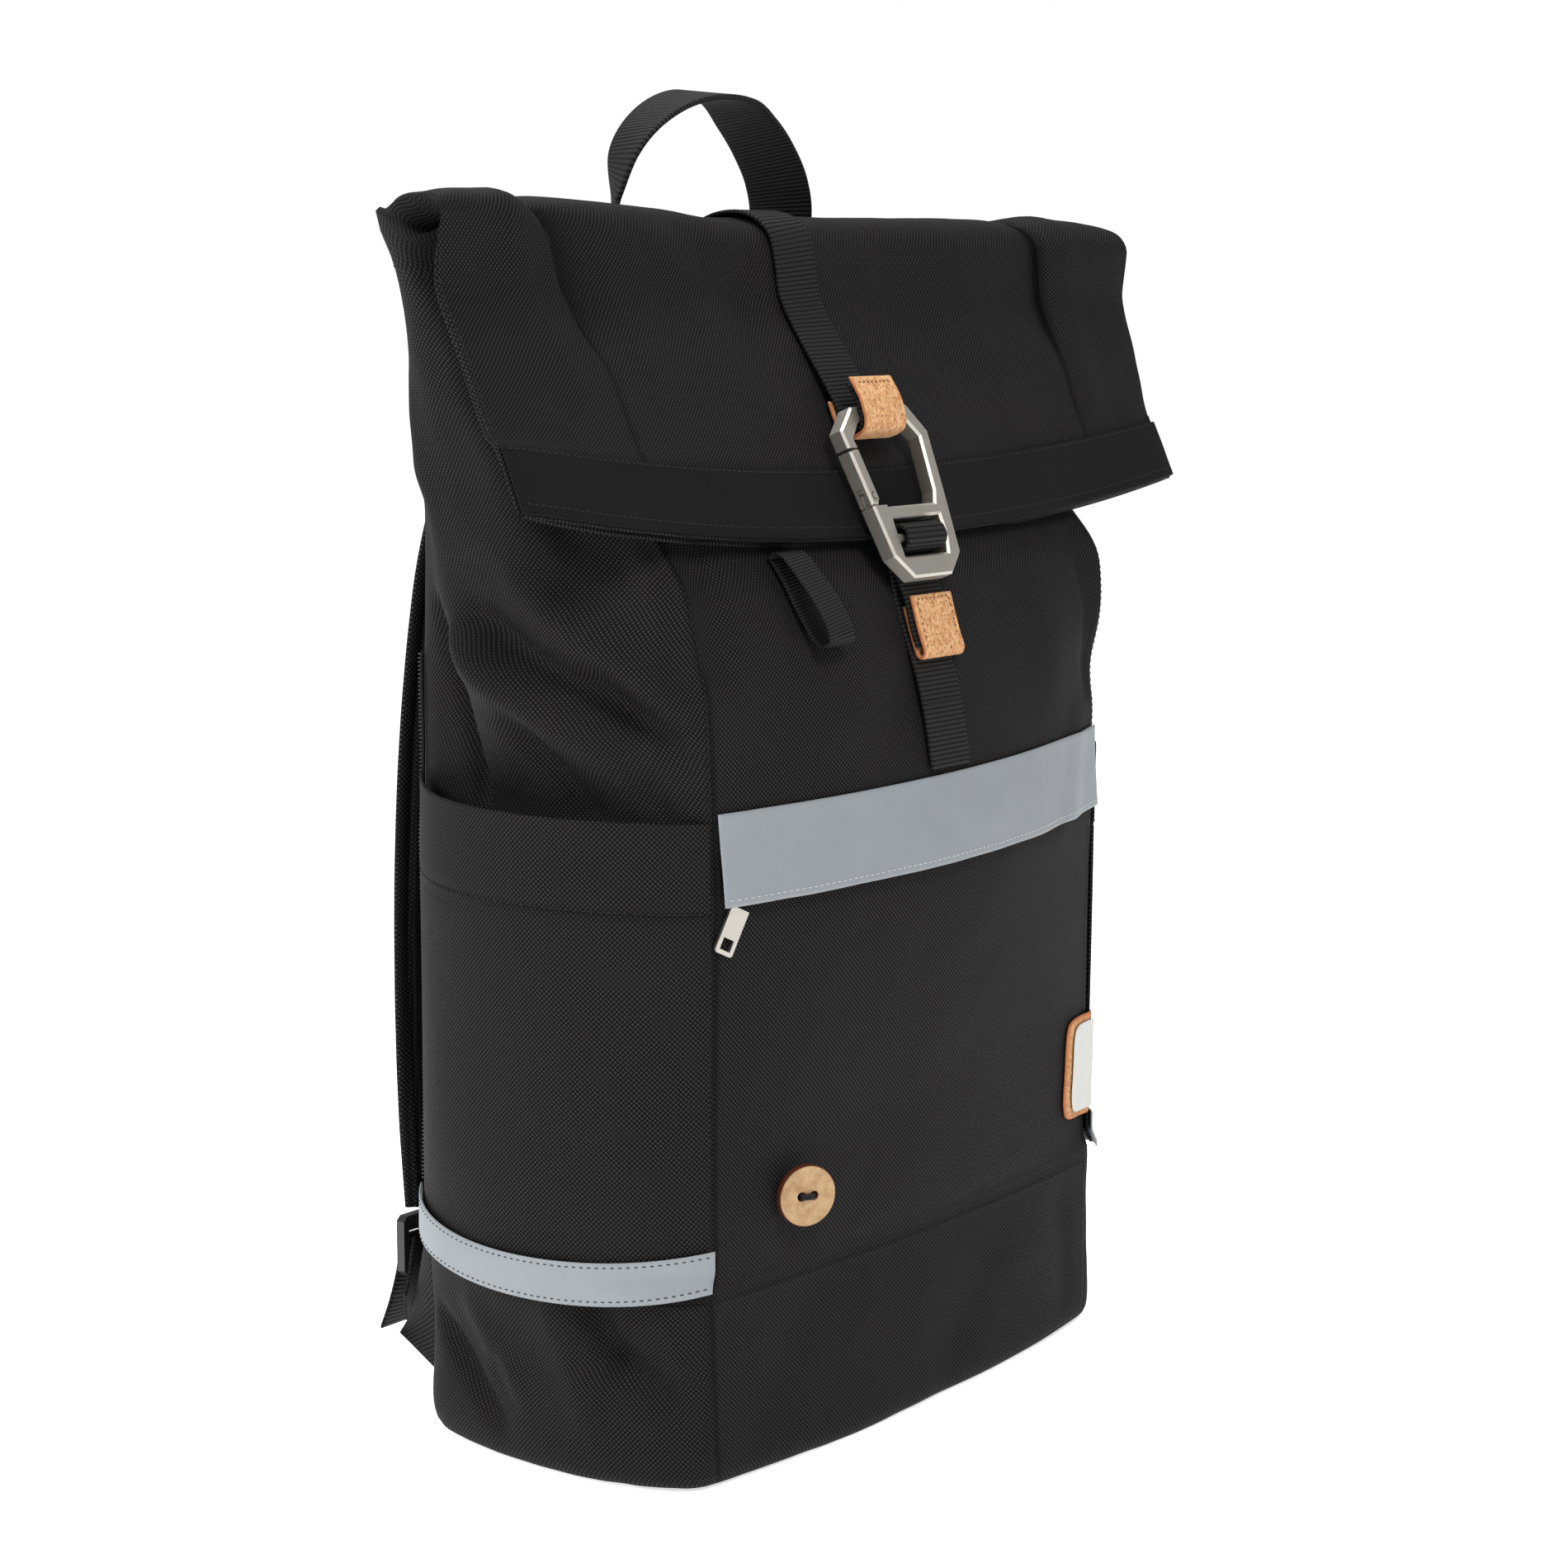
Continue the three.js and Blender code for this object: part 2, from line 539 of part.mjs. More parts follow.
// Half a turn round the foot of the top bar, from behind to the front, grown by a distance.
function underBar(grow) {
  const out = [];
  for (let i = 0; i <= 8; i += 1) {
    const t = Math.PI * (1 + i / 8);
    const c = Math.cos(t);
    const across = (loopOut + grow) * Math.sign(c) * Math.abs(c) ** 0.6;
    out.push(onHook(headMid + (loopDown + grow) * Math.sin(t), across));
  }
  return out;
}
const firstFoldRow = 17;
const flapStrapPath = [
  flapLine(firstFoldRow - 0.6, strapOff + 0.3), flapLine(firstFoldRow, strapOff + 0.3),
  flapLine(firstFoldRow + 1, strapOff + 0.3),
  flapLine(firstFoldRow + 2, strapOff),
  flapLine(firstFoldRow + 3, strapOff),
  flapLine(firstFoldRow + 3.5, strapOff + 0.6),
  onHook(headMid + 8, -loopOut),
  ...underBar(0),
  onHook(headMid + 6, loopOut - 0.2),
  onHook(headMid + 14, loopOut - 2.6),
  onHook(headMid + 22, loopOut - 5.6),
];
const strapSlant = 8;             // the strap leaves the fold this much further left than it meets the hook
const flapStrapX = (i) => strapX - 3 - strapSlant * Math.max(0, 1 - i / 5.5);
add("flap_strap", ribbonX(flapStrapPath, webbingWidth, webbingThick, flapStrapX), "webbing");

// Cork tabs: folded round the end of a webbing loop.
function foldedTab(path, width, thick, x) {
  return ribbonX(path, width, thick, () => x);
}
const corkThick = 1.5;
const corkWidth = 26;
const corkOut = webbingThick / 2 + fit + corkThick / 2 + 0.15;
const upperCork = [
  onHook(headMid + 9, -loopOut - corkOut), ...underBar(corkOut),
  onHook(headMid + 6, loopOut + corkOut), onHook(headMid + 14, loopOut + corkOut - 1.6),
];
add("upper_cork_tab", foldedTab(upperCork, corkWidth, corkThick, strapX - 3), "cork");

// Front webbing: up from the reflective flap, through the slots, over the middle bar and down.
const frontLine = (z, off) => {
  const p = skin(z, 0);
  const n = skinN(z, 0);
  return [p.y + n.y * off, p.z + n.z * off];
};
const midBarS = (midBarLow + midBarHigh) / 2;
const humpOut = clipThick / 2 + 1.6;
const corkGap = webbingThick / 2 + fit + corkThick / 2;
const tailOff = strapOff + 2 * corkGap;
const behind = clipThick / 2 + fit + webbingThick / 2 + 0.1;
const frontWebbingPath = [
  frontLine(stripTop + 2, strapOff), frontLine(270, strapOff), frontLine(286, strapOff),
  frontLine(303, strapOff), frontLine(318, strapOff),
  onHook(6, -behind - webbingThick - fit - 0.4), onHook(14, -behind - webbingThick - fit),
  onHook(18.6, -behind), onHook(20.7, -1.5), onHook(20.8, 2.5),
  onHook(18.6, humpOut + 0.4), onHook(14, humpOut + 0.4), onHook(11.6, 2.4), onHook(11.2, -1.5),
  onHook(9.4, -behind), onHook(1, -behind),
  frontLine(314, tailOff + 0.5), frontLine(306, tailOff), frontLine(297.4, tailOff),
];
add("front_webbing", ribbonX(frontWebbingPath, webbingWidth, webbingThick, () => strapX), "webbing");

// Lower cork tab folded round the end of the tail.
const lowerCork = [
  frontLine(313, tailOff - corkGap), frontLine(303, tailOff - corkGap), frontLine(295.4, tailOff - corkGap),
  frontLine(293.7, tailOff - 0.7), frontLine(293.7, tailOff + 0.7), frontLine(295.4, tailOff + corkGap),
  frontLine(303, tailOff + corkGap), frontLine(315.5, tailOff + corkGap + 0.4),
];
add("lower_cork_tab", foldedTab(lowerCork, corkWidth, corkThick, strapX + 2), "cork");

// Helmet loop: a closed ring of tape hanging from under the hem.
const loopTop = V(-74, 0, 334);
const loopDrift = 6;
const loopDrop = 32;
const tapeWidth = 15;
const tapeThick = 1.1;
const loopLine = [
  [0, 1.8], [0.25, 1.8], [0.5, 1.8], [0.75, 2.6], [0.92, 3.6], [1, 6],
  [0.97, 10.2], [0.8, 11.4], [0.55, 10.6], [0.3, 8.8], [0.06, 6.8], [-0.02, 4],
];
const loopPath = loopLine.map(([down, off]) => {
  const z = loopTop.z - loopDrop * down;
  const k = around + frontK(loopTop.x + loopDrift * down);
  const p = skin(z, k);
  const n = skinN(z, k);
  return [p.y + n.y * off, p.z + n.z * off];
});
add("helmet_loop", ribbonX(loopPath, tapeWidth, tapeThick,
  (i) => loopTop.x + loopDrift * loopLine[i][0], true), "webbing");

// Front zip pull, button, label.
function onSkin(x, z, roll) {
  const k = around + frontK(x);
  const n = skinN(z, k);
  const right = V(n.y * -1, n.x, 0).normalize();
  const up = n.clone().cross(right);
  const m = new THREE.Matrix4().makeBasis(right, up, n).setPosition(skin(z, k));
  return m.multiply(new THREE.Matrix4().makeRotationZ(roll));
}
function placed(geometry, matrix) {
  geometry.applyMatrix4(matrix);
  return geometry;
}
const pullX = -(frontHalf - 9);
const pullZ = 213.5;
const pullRoll = THREE.MathUtils.degToRad(-26);
const pullWidth = 8;
const pullLength = 17.5;
const pullThick = 1.4;
const pullShape = polygon([
  [-pullWidth / 2 + 0.8, -pullLength], [pullWidth / 2 - 0.8, -pullLength], [pullWidth / 2, -pullLength + 0.8],
  [pullWidth / 2, 0], [-pullWidth / 2, 0], [-pullWidth / 2, -pullLength + 0.8],
]);
pullShape.holes.push(windowPath([[-2.4, -pullLength + 1.6], [-2.4, -pullLength + 6], [2.4, -pullLength + 6],
  [2.4, -pullLength + 1.6]]));
const pullBody = extrude(pullShape, square(pullThick), fit + 0.5);
add("zip_pull", placed(pullBody, onSkin(pullX, pullZ, pullRoll)), "nickel");
add("zip_slider", placed(boxAt(-4, 4, 3.2, 10, fit, 1.8), onSkin(pullX + 1, pullZ, 0)), "nickel");

const buttonX = -(frontHalf - 39.5);
const buttonZ = 103.5;
const holeGap = 2.6;
const holeRadius = 1.7;
const disc = new THREE.Shape();
disc.absarc(0, 0, buttonSize / 2 - 0.6, 0, 2 * Math.PI, false);
for (const side of [-1, 1]) {
  const hole = new THREE.Path();
  hole.absarc(side * holeGap, 0, holeRadius, 0, 2 * Math.PI, true);
  disc.holes.push(hole);
}
const buttonBody = new THREE.ExtrudeGeometry(disc, {
  depth: buttonThick - 1,
  bevelEnabled: true,
  bevelThickness: 0.5,
  bevelSize: 0.4,
  bevelSegments: 1,
  curveSegments: 20,
});
buttonBody.translate(0, 0, 0.5);
// It hangs turned to one side on its long thread, one edge just clear of the cloth.
const buttonYaw = -22 * Math.PI / 180;
const buttonLift = fit + 0.5 + (buttonSize / 2) * Math.abs(Math.sin(buttonYaw));
const hungButton = onSkin(buttonX, buttonZ, 0)
  .multiply(new THREE.Matrix4().makeTranslation(0, 0, buttonLift))
  .multiply(new THREE.Matrix4().makeRotationY(buttonYaw));
add("button", placed(buttonBody, hungButton), "coconut");
// The thread is one bar with two legs, each as long as its own way down to the cloth.
function legFoot(x) {
  return (x * Math.sin(buttonYaw) - buttonLift + 0.6) / Math.cos(buttonYaw);
}
const threadPath = polygon([
  [-holeGap - 0.5, legFoot(-holeGap)], [-holeGap + 0.5, legFoot(-holeGap)],
  [-holeGap + 0.5, buttonThick + 0.4], [holeGap - 0.5, buttonThick + 0.4],
  [holeGap - 0.5, legFoot(holeGap)], [holeGap + 0.5, legFoot(holeGap)],
  [holeGap + 0.5, buttonThick + 1.4], [-holeGap - 0.5, buttonThick + 1.4],
]);
const threadBar = extrude(threadPath, square(1), -0.5);
threadBar.rotateX(Math.PI / 2);
add("button_thread", placed(threadBar, hungButton), "thread");

// Label sewn round the right front seam: a cork patch with a bare pale inset.
const labelFoot = 90.5;
const labelTall = 43;
const labelOver = fit + clothThick + 1.6; // it rides over the front edge of the side pocket
function labelSheet(inset, a, b, cols) {
  const k0 = frontSteps - 1.35 + inset * 0.11;
  const k1 = frontSteps + 1.1 - inset * 0.16;
  return outward(sheet(3, cols, (i, j) => {
    const k = k0 + ((k1 - k0) * j) / (cols - 1);
    const z = labelFoot + inset + ((labelTall - 2 * inset) * i) / 2;
    const over = labelOver * THREE.MathUtils.smoothstep(k, frontSteps - 0.5, frontSteps + 0.1);
    return { p: skin(z, k), n: skinN(z, k), a: a + over, b: b + over };
  }));
}
const labelThick = 1.2;
add("label_patch", labelSheet(0, fit, fit + labelThick, 9), "cork");
add("label_inset", labelSheet(2.8, 2 * fit + labelThick + 0.25, 2 * fit + labelThick + 0.75, 9), "paper");

// Zip down the left back seam.
const zipLevels = [97, 120, 165, stripTop - stripHeight, stripTop, 286, 298];
add("back_zipper", outward(sheet(zipLevels.length, 3, (i, j) => {
  const z = zipLevels[i];
  const k = around - backSeam + 0.5 + 0.22 * (j - 1);
  return { p: skin(z, k), n: skinN(z, k), a: fit, b: fit + 1.2 + (j === 1 ? 0.7 : 0) };
})), "tape");

// Carrying handle: a webbing loop with a twist, sewn to the back behind the fold.
// Row: x, y, z of the middle of the webbing; facing: the angle of its wide direction round Z.
const handleTable = [
  { x: -58, y: 49.6, z: 422, facing: 0 },
  { x: -60, y: 40.2, z: 439, facing: 2 },
  { x: -64, y: 34, z: 455, facing: 20 },
  { x: -66, y: 29, z: 468, facing: 36 },
  { x: -64, y: 26.5, z: 483, facing: 44 },
  { x: -56, y: 25, z: 496, facing: 50 },
  { x: -42, y: 25, z: 505, facing: 52 },
  { x: -23, y: 25, z: 508.5, facing: 53 },
  { x: -4, y: 25, z: 508, facing: 52 },
  { x: 12, y: 25, z: 503.5, facing: 40 },
  { x: 24, y: 25, z: 494, facing: 18 },
  { x: 33, y: 26, z: 481, facing: -4 },
  { x: 39, y: 28, z: 467, facing: -14 },
  { x: 43, y: 31, z: 455, facing: -12 },
  { x: 46, y: 39.8, z: 439, facing: -4 },
  { x: 48, y: 49.6, z: 422, facing: 0 },
];
function twisted(table, width, thick) {
  return outward(sheet(table.length, 2, (i, j) => {
    const r = table[i];
    const a = table[Math.max(i - 1, 0)];
    const b = table[Math.min(i + 1, table.length - 1)];
    const along = V(b.x - a.x, b.y - a.y, b.z - a.z).normalize();
    const f = THREE.MathUtils.degToRad(r.facing);
    const wide = V(Math.cos(f), Math.sin(f), 0);
    wide.addScaledVector(along, -wide.dot(along)).normalize();
    const n = along.clone().cross(wide);
    return { p: V(r.x, r.y, r.z).addScaledVector(wide, (j - 0.5) * width), n, a: -thick / 2, b: thick / 2 };
  }));
}
add("handle", twisted(handleTable, webbingWidth, 2.2), "webbing");

// Padded shoulder straps and their hardware.
const strapTable = [
  { x: 50, y: 60.6, z: 399, w: 54, t: 5 },
  { x: 50.6, y: 67.4, z: 392, w: 55, t: 8 },
  { x: 54, y: 85, z: 377, w: 57, t: strapThick },
  { x: 59, y: 95.5, z: 358, w: strapWidth, t: strapThick },
  { x: 65, y: 101, z: 330, w: strapWidth, t: strapThick },
  { x: 72, y: 102.4, z: 290, w: strapWidth, t: strapThick },
  { x: 78, y: 102.4, z: 243, w: strapWidth, t: strapThick },
  { x: 82, y: 102.4, z: 195, w: 56, t: strapThick },
  { x: 86, y: 102, z: 150, w: 50, t: strapThick },
  { x: 90, y: 101, z: 110, w: 42, t: strapThick },
  { x: 93, y: 100.4, z: 72, w: 32, t: 8 },
];
function padded(table, side) {
  const ring = 12;
  const points = [];
  const faces = [];
  table.forEach((r, i) => {
    const a = table[Math.max(i - 1, 0)];
    const b = table[Math.min(i + 1, table.length - 1)];
    const along = V((b.x - a.x) * side, b.y - a.y, b.z - a.z).normalize();
    const wide = V(1, 0, 0).addScaledVector(along, -along.x).normalize();
    const n = wide.clone().cross(along).normalize();
    for (let q = 0; q < ring; q += 1) {
      const t = (2 * Math.PI * q) / ring;
      const c = Math.cos(t);
      const s = Math.sin(t);
      const u = (Math.sign(c) * Math.abs(c) ** 0.45 * r.w) / 2;
      const v = (Math.sign(s) * Math.abs(s) ** 0.7 * r.t) / 2;
      points.push(V(r.x * side, r.y, r.z).addScaledVector(wide, u).addScaledVector(n, v));
    }
  });
  const id = (i, q) => i * ring + (q % ring);
  const last = table.length - 1;
  for (let i = 0; i < last; i += 1) {
    for (let q = 0; q < ring; q += 1) {
      faces.push([id(i, q), id(i, q + 1), id(i + 1, q + 1)], [id(i, q), id(i + 1, q + 1), id(i + 1, q)]);
    }
  }
  for (let q = 1; q < ring - 1; q += 1) {
    faces.push([id(0, 0), id(0, q + 1), id(0, q)], [id(last, 0), id(last, q), id(last, q + 1)]);
  }
  return outward(solid(points, faces));
}

// Ladder lock: a flat frame with two slots below the end of the strap.
const lockWidth = 32;
const lockHeight = 24;
const lockThick = 4;
const lockY = 100.8;
const lockFoot = 46;              // height of its lower edge over the floor
function ladderLock(side) {
  const shape = polygon([
    [-lockWidth / 2 + 2, 0], [lockWidth / 2 - 2, 0], [lockWidth / 2, 2], [lockWidth / 2, lockHeight - 2],
    [lockWidth / 2 - 2, lockHeight], [-lockWidth / 2 + 2, lockHeight], [-lockWidth / 2, lockHeight - 2],
    [-lockWidth / 2, 2],
  ]);
  const w = webbingWidth / 2 + 0.6;
  shape.holes.push(windowPath([[-w, 3], [-w, 8.6], [w, 8.6], [w, 3]]));
  shape.holes.push(windowPath([[-w, 12.4], [-w, 18], [w, 18], [w, 12.4]]));
  const g = extrude(shape, square(lockThick), -lockThick / 2);
  const m = new THREE.Matrix4().makeBasis(V(-1, 0, 0), V(0, 0, 1), V(0, 1, 0));
  m.setPosition(V(96 * side, lockY, lockFoot));
  return placed(g, m);
}

// Webbing from the anchor tab up behind the lock, over its middle bar and down as a free tail.
const anchorApex = { x: 118, y: 93, z: 36 };
function strapWebbing(side) {
  const table = [
    { x: anchorApex.x, y: anchorApex.y, z: anchorApex.z, facing: 24 },
    { x: 107, y: 93.6, z: 46, facing: 8 },
    { x: 98, y: lockY - 5.2, z: lockFoot + 8, facing: 0 },
    { x: 96, y: lockY - 3.6, z: lockFoot + 13, facing: 0 },
    { x: 96, y: lockY - 0.6, z: lockFoot + 15.3, facing: 0 },
    { x: 96, y: lockY + 2.8, z: lockFoot + 14.8, facing: 0 },
    { x: 96, y: lockY + 3.9, z: lockFoot + 10, facing: 0 },
    { x: 97, y: lockY + 5.4, z: lockFoot, facing: 2 },
    { x: 100, y: lockY + 8.2, z: lockFoot - 12, facing: 8 },
    { x: 103, y: lockY + 12.4, z: lockFoot - 24, facing: 14 },
  ].map((r) => ({ x: r.x * side, y: r.y, z: r.z, facing: r.facing * -side }));
  return twisted(table, webbingWidth, webbingThick);
}

// Triangular anchor tab sewn into the back seam near the floor.
const tabStart = 1;
function anchorTab(side) {
  const rows = [0, 0.33, 0.66, 1];
  return outward(sheet(rows.length, 5, (i, j) => {
    const t = rows[i];
    const z = 18 + (66 * j) / 4;
    const base = skin(z, side > 0 ? backSeam : around - backSeam);
    base.y += tabStart;
    const tipX = (anchorApex.x + 9 - 3 * j) * side;
    const tip = V(tipX, anchorApex.y - 5.9 + 0.9 * j, anchorApex.z - 6.6 + 1.2 * j);
    return { p: base.lerp(tip, t), n: V(side * 0.93, 0.36, 0.3 * t).normalize(), a: -1, b: 1 };
  }));
}
for (const [word, side] of [["left", -1], ["right", 1]]) {
  add(`shoulder_strap_${word}`, padded(strapTable, side), "oxford");
  add(`ladder_lock_${word}`, ladderLock(side), "plastic");
  add(`strap_webbing_${word}`, strapWebbing(side), "webbing");
  add(`anchor_tab_${word}`, anchorTab(side), "oxford");
}

export default group;
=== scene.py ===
"""Roll-top courier backpack: its cloth, webbing, cork and metal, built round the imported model."""
import math

import bpy
import numpy as np
from bpy.props import FloatProperty, FloatVectorProperty, PointerProperty
from mathutils import Matrix, Vector


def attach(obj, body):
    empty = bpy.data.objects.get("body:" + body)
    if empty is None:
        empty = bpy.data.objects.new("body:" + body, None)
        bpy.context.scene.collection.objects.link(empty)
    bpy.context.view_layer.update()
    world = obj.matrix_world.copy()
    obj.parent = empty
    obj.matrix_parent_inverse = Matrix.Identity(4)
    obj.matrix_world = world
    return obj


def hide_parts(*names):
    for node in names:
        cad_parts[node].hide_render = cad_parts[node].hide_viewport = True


bl_info = {
    "name": "Roll-top Backpack",
    "version": (1, 0, 0),
    "blender": (4, 5, 0),
    "location": "View3D > Sidebar > Backpack",
    "description": "Builds the cloth, webbing, cork and metal of a roll-top cycling backpack",
    "category": "Object",
}

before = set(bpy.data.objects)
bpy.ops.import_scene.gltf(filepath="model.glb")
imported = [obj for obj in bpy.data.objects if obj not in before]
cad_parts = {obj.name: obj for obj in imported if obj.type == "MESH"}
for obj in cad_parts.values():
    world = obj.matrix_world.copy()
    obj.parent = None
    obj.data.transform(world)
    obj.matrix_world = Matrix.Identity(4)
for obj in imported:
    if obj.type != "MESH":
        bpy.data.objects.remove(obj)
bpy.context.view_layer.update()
MM = 0.001

# Named sizes, in millimetres, the same as the solids have.
WALL = 1.6
FIT = 0.4
CLOTH = 1.4
FRONT_HALF = 124.0
FLAP_HALF = 209.0
LOWER_SEAM = 72.0
STRIP_TOP = 251.0
STRIP_HEIGHT = 33.0
STRIP_TILT = 3.0
STRIP_LIFT = 3.6
MOUTH_FRONT = 245.0
MOUTH_BOW = 2.0
MOUTH_RISE = 9.0
POCKET_FOOT = 76.0
POCKET_GAPE = 13.0
STRAP_X = -6.0

# The bag as a tube of cloth, one row per section. y and z place the row and turn tips it over the fold.
# f: front seam and middle, s: side, b: back seam and middle; lift and out: how the ends rise and lie back.
COLUMNS = "y z turn fx fd fc sx round bx bd bc lift_l lift_r out_l out_r".split()
SECTIONS = np.array([
    [0, 0, 0, 119, -63, -72.5, 145, 0.52, 122, 59, 61, 0, 0, 0, 0],
    [0, 3.5, 0, 123, -66.5, -75.5, 149, 0.52, 126, 63, 65, 0, 0, 0, 0],
    [0, 12, 0, 124.5, -67.5, -76.5, 151, 0.55, 128, 64.5, 67, 0, 0, 0, 0],
    [0, 40, 0, 125.5, -67.5, -76, 152, 0.7, 130, 64.5, 67, 0, 0, 0, 0],
    [0, 72, 0, 127, -67.5, -73, 156, 0.85, 132, 64.5, 67, 0, 0, 0, 0],
    [0, 84, 0, 124, -66.5, -75, 157, 0.9, 132, 64.5, 67, 0, 0, 0, 0],
    [0, 120, 0, 124, -66.5, -78, 157, 0.95, 132, 64.5, 67, 0, 0, 0, 0],
    [0, 165, 0, 124, -67, -83.5, 156, 0.95, 132, 64.5, 67, 0, 0, 0, 0],
    [0, 218, 0, 124, -67.5, -88, 153, 0.95, 132, 65, 68, 0, 0, 0, 0],
    [0, 251, 0, 125, -67.5, -86.5, 150, 0.95, 132, 65, 68, 0, 0, 0, 0],
    [0, 286, 0, 127.5, -68, -80, 152, 0.95, 132, 64.5, 68, 0, 0, 0, 0],
    [0, 320, 0, 131, -64, -67.5, 156, 0.95, 131.5, 63, 67, 0, 0, 0, 0],
    [0, 345, 0, 131, -48.5, -50, 161, 0.95, 131, 61, 66, 0, 0, 0, 0],
    [0, 370, 0, 132, -34.5, -36, 165, 1, 130.5, 57, 64, 0, 0, 0, 0],
    [0, 400, 0, 135, -20.5, -21.5, 174, 1.1, 132.5, 50.5, 58, 0, 0, 0, 0],
    [0, 425, 0, 139, -8.5, -9, 186, 1.15, 138, 40.5, 46, 2, 0, -1, -4],
    [0, 440, 0, 142, -3, -3, 198, 1.1, 142, 32, 36, 5, 1, -4, -8],
    [-4, 446.5, 32, 144, 0, 0, 206, 1, 144, 20, 18.5, 8, 2, -8, -12],
    [-7.5, 447.5, 92, 145, 0, 0, 209, 1, 145, 10, 9.5, 9, 2, -10, -15],
    [-9.8, 443.5, 140, 145, 0, 0, 209, 1, 145, 7.5, 7.5, 9, 2, -7, -17],
    [-12, 425, 152, 145, 0, 0, 209, 1, 145, 7, 7, 7, 3, -1, -13],
    [-26.8, 396, 152, 145, 0, 0, 209, 1, 145, 7, 7, 7, 5, 1, -5],
    [-38.6, 371.6, 154, 145, 0, 0, 209, 1, 145, 7, 7, 10, 9, 3, 2],
    [-43.8, 360.2, 155, 145, 0, 0, 209, 1, 145, 7, 7, 17, 12, 4, 4],
    [-54.6, 336, 157, 145, 0, 0, 209, 1, 145, 7, 7, 19.5, 14, 5, 5],
], float)
AT = {name: i for i, name in enumerate(COLUMNS)}
FRONT = 8.0        # steps round half of the front or back
SIDE = 14.0        # steps round a side
ROUND = 60.0
HALF = 30.0
UPRIGHT = 16       # last row that stands upright
ROWS = len(SECTIONS) - 1

# Dents (deeper inwards is positive): place round, height, reach round, reach up, depth.
DENTS = {
    "left side sucked in by the back zip": (41.4, 286, 1.5, 34, 8),
    "left side swell above the pocket": (46.5, 296, 2.6, 34, -6),
    "left side hollow in the pocket mouth": (43.5, 246, 2.6, 26, 6),
    "left fold under the side strip, front": (49, 46, 1.6, 20, 4),
    "left fold under the side strip, rear": (42, 40, 1.8, 22, 4),
    "right front seam pinched above the strip": (8.4, 280, 1.4, 12, 2),
    "right front swell below the flap": (9.2, 322, 1.8, 24, -3.5),
    "right side hollow in the pocket mouth": (16, 246, 2.8, 26, 5),
    "right side swell above the pocket": (13, 300, 2.6, 34, -4),
    "front sag between the strip and the base": (57, 120, 2.5, 26, 1.5),
}

# Pulls: where a corner of cloth is drawn out of the plain section, in millimetres. Place round, row,
# reach round, reach in rows, and the way it goes along x, y and z.
PULLS = {
    "left rear corner drawn to a point": (43.8, 16.0, 1.7, 0.4, -1, 5, 12.5),
    "left gusset tucked in": (45.5, 16.9, 1.4, 0.4, 27, 0, -8),
    "rear edge of the roll at the left end": (42.4, 16.62, 1.2, 0.42, -1, 4, 4.5),
    "left side sunk behind the flap": (48.6, 15.0, 2.0, 1.6, 12, 3, 0),
    "left side sunk beside the flap": (49.4, 13.2, 2.2, 1.6, 9, 6, 0),
}


def slopes(values):
    """Slopes that keep a curve through the rows from overshooting."""
    step = np.diff(values, axis=0)
    a, b = step[:-1], step[1:]
    same = a * b > 0
    inner = np.where(same, 2 * a * b / np.where(same, a + b, 1), 0)
    return np.concatenate([step[:1], inner, step[-1:]])


SLOPES = slopes(SECTIONS)


def section_at(row):
    """Every column of the section table at a fractional row."""
    row = np.clip(row, 0, ROWS)
    i = np.minimum(row.astype(int), ROWS - 1)
    t = (row - i)[..., None]
    a, b, ma, mb = SECTIONS[i], SECTIONS[i + 1], SLOPES[i], SLOPES[i + 1]
    t2, t3 = t * t, t * t * t
    return a * (2 * t3 - 3 * t2 + 1) + ma * (t3 - 2 * t2 + t) + b * (3 * t2 - 2 * t3) + mb * (t3 - t2)


def smooth(x, low, high):
    """0 below low, 1 above high, smooth between."""
    t = np.clip((x - low) / (high - low), 0, 1)
    return t * t * (3 - 2 * t)


ROW_TABLE = np.linspace(0, UPRIGHT, 1601)
HEIGHT_TABLE = section_at(ROW_TABLE)[:, AT["z"]]


def row_of(z):
    """The row whose section stands at height z."""
    return np.interp(z, HEIGHT_TABLE, ROW_TABLE)


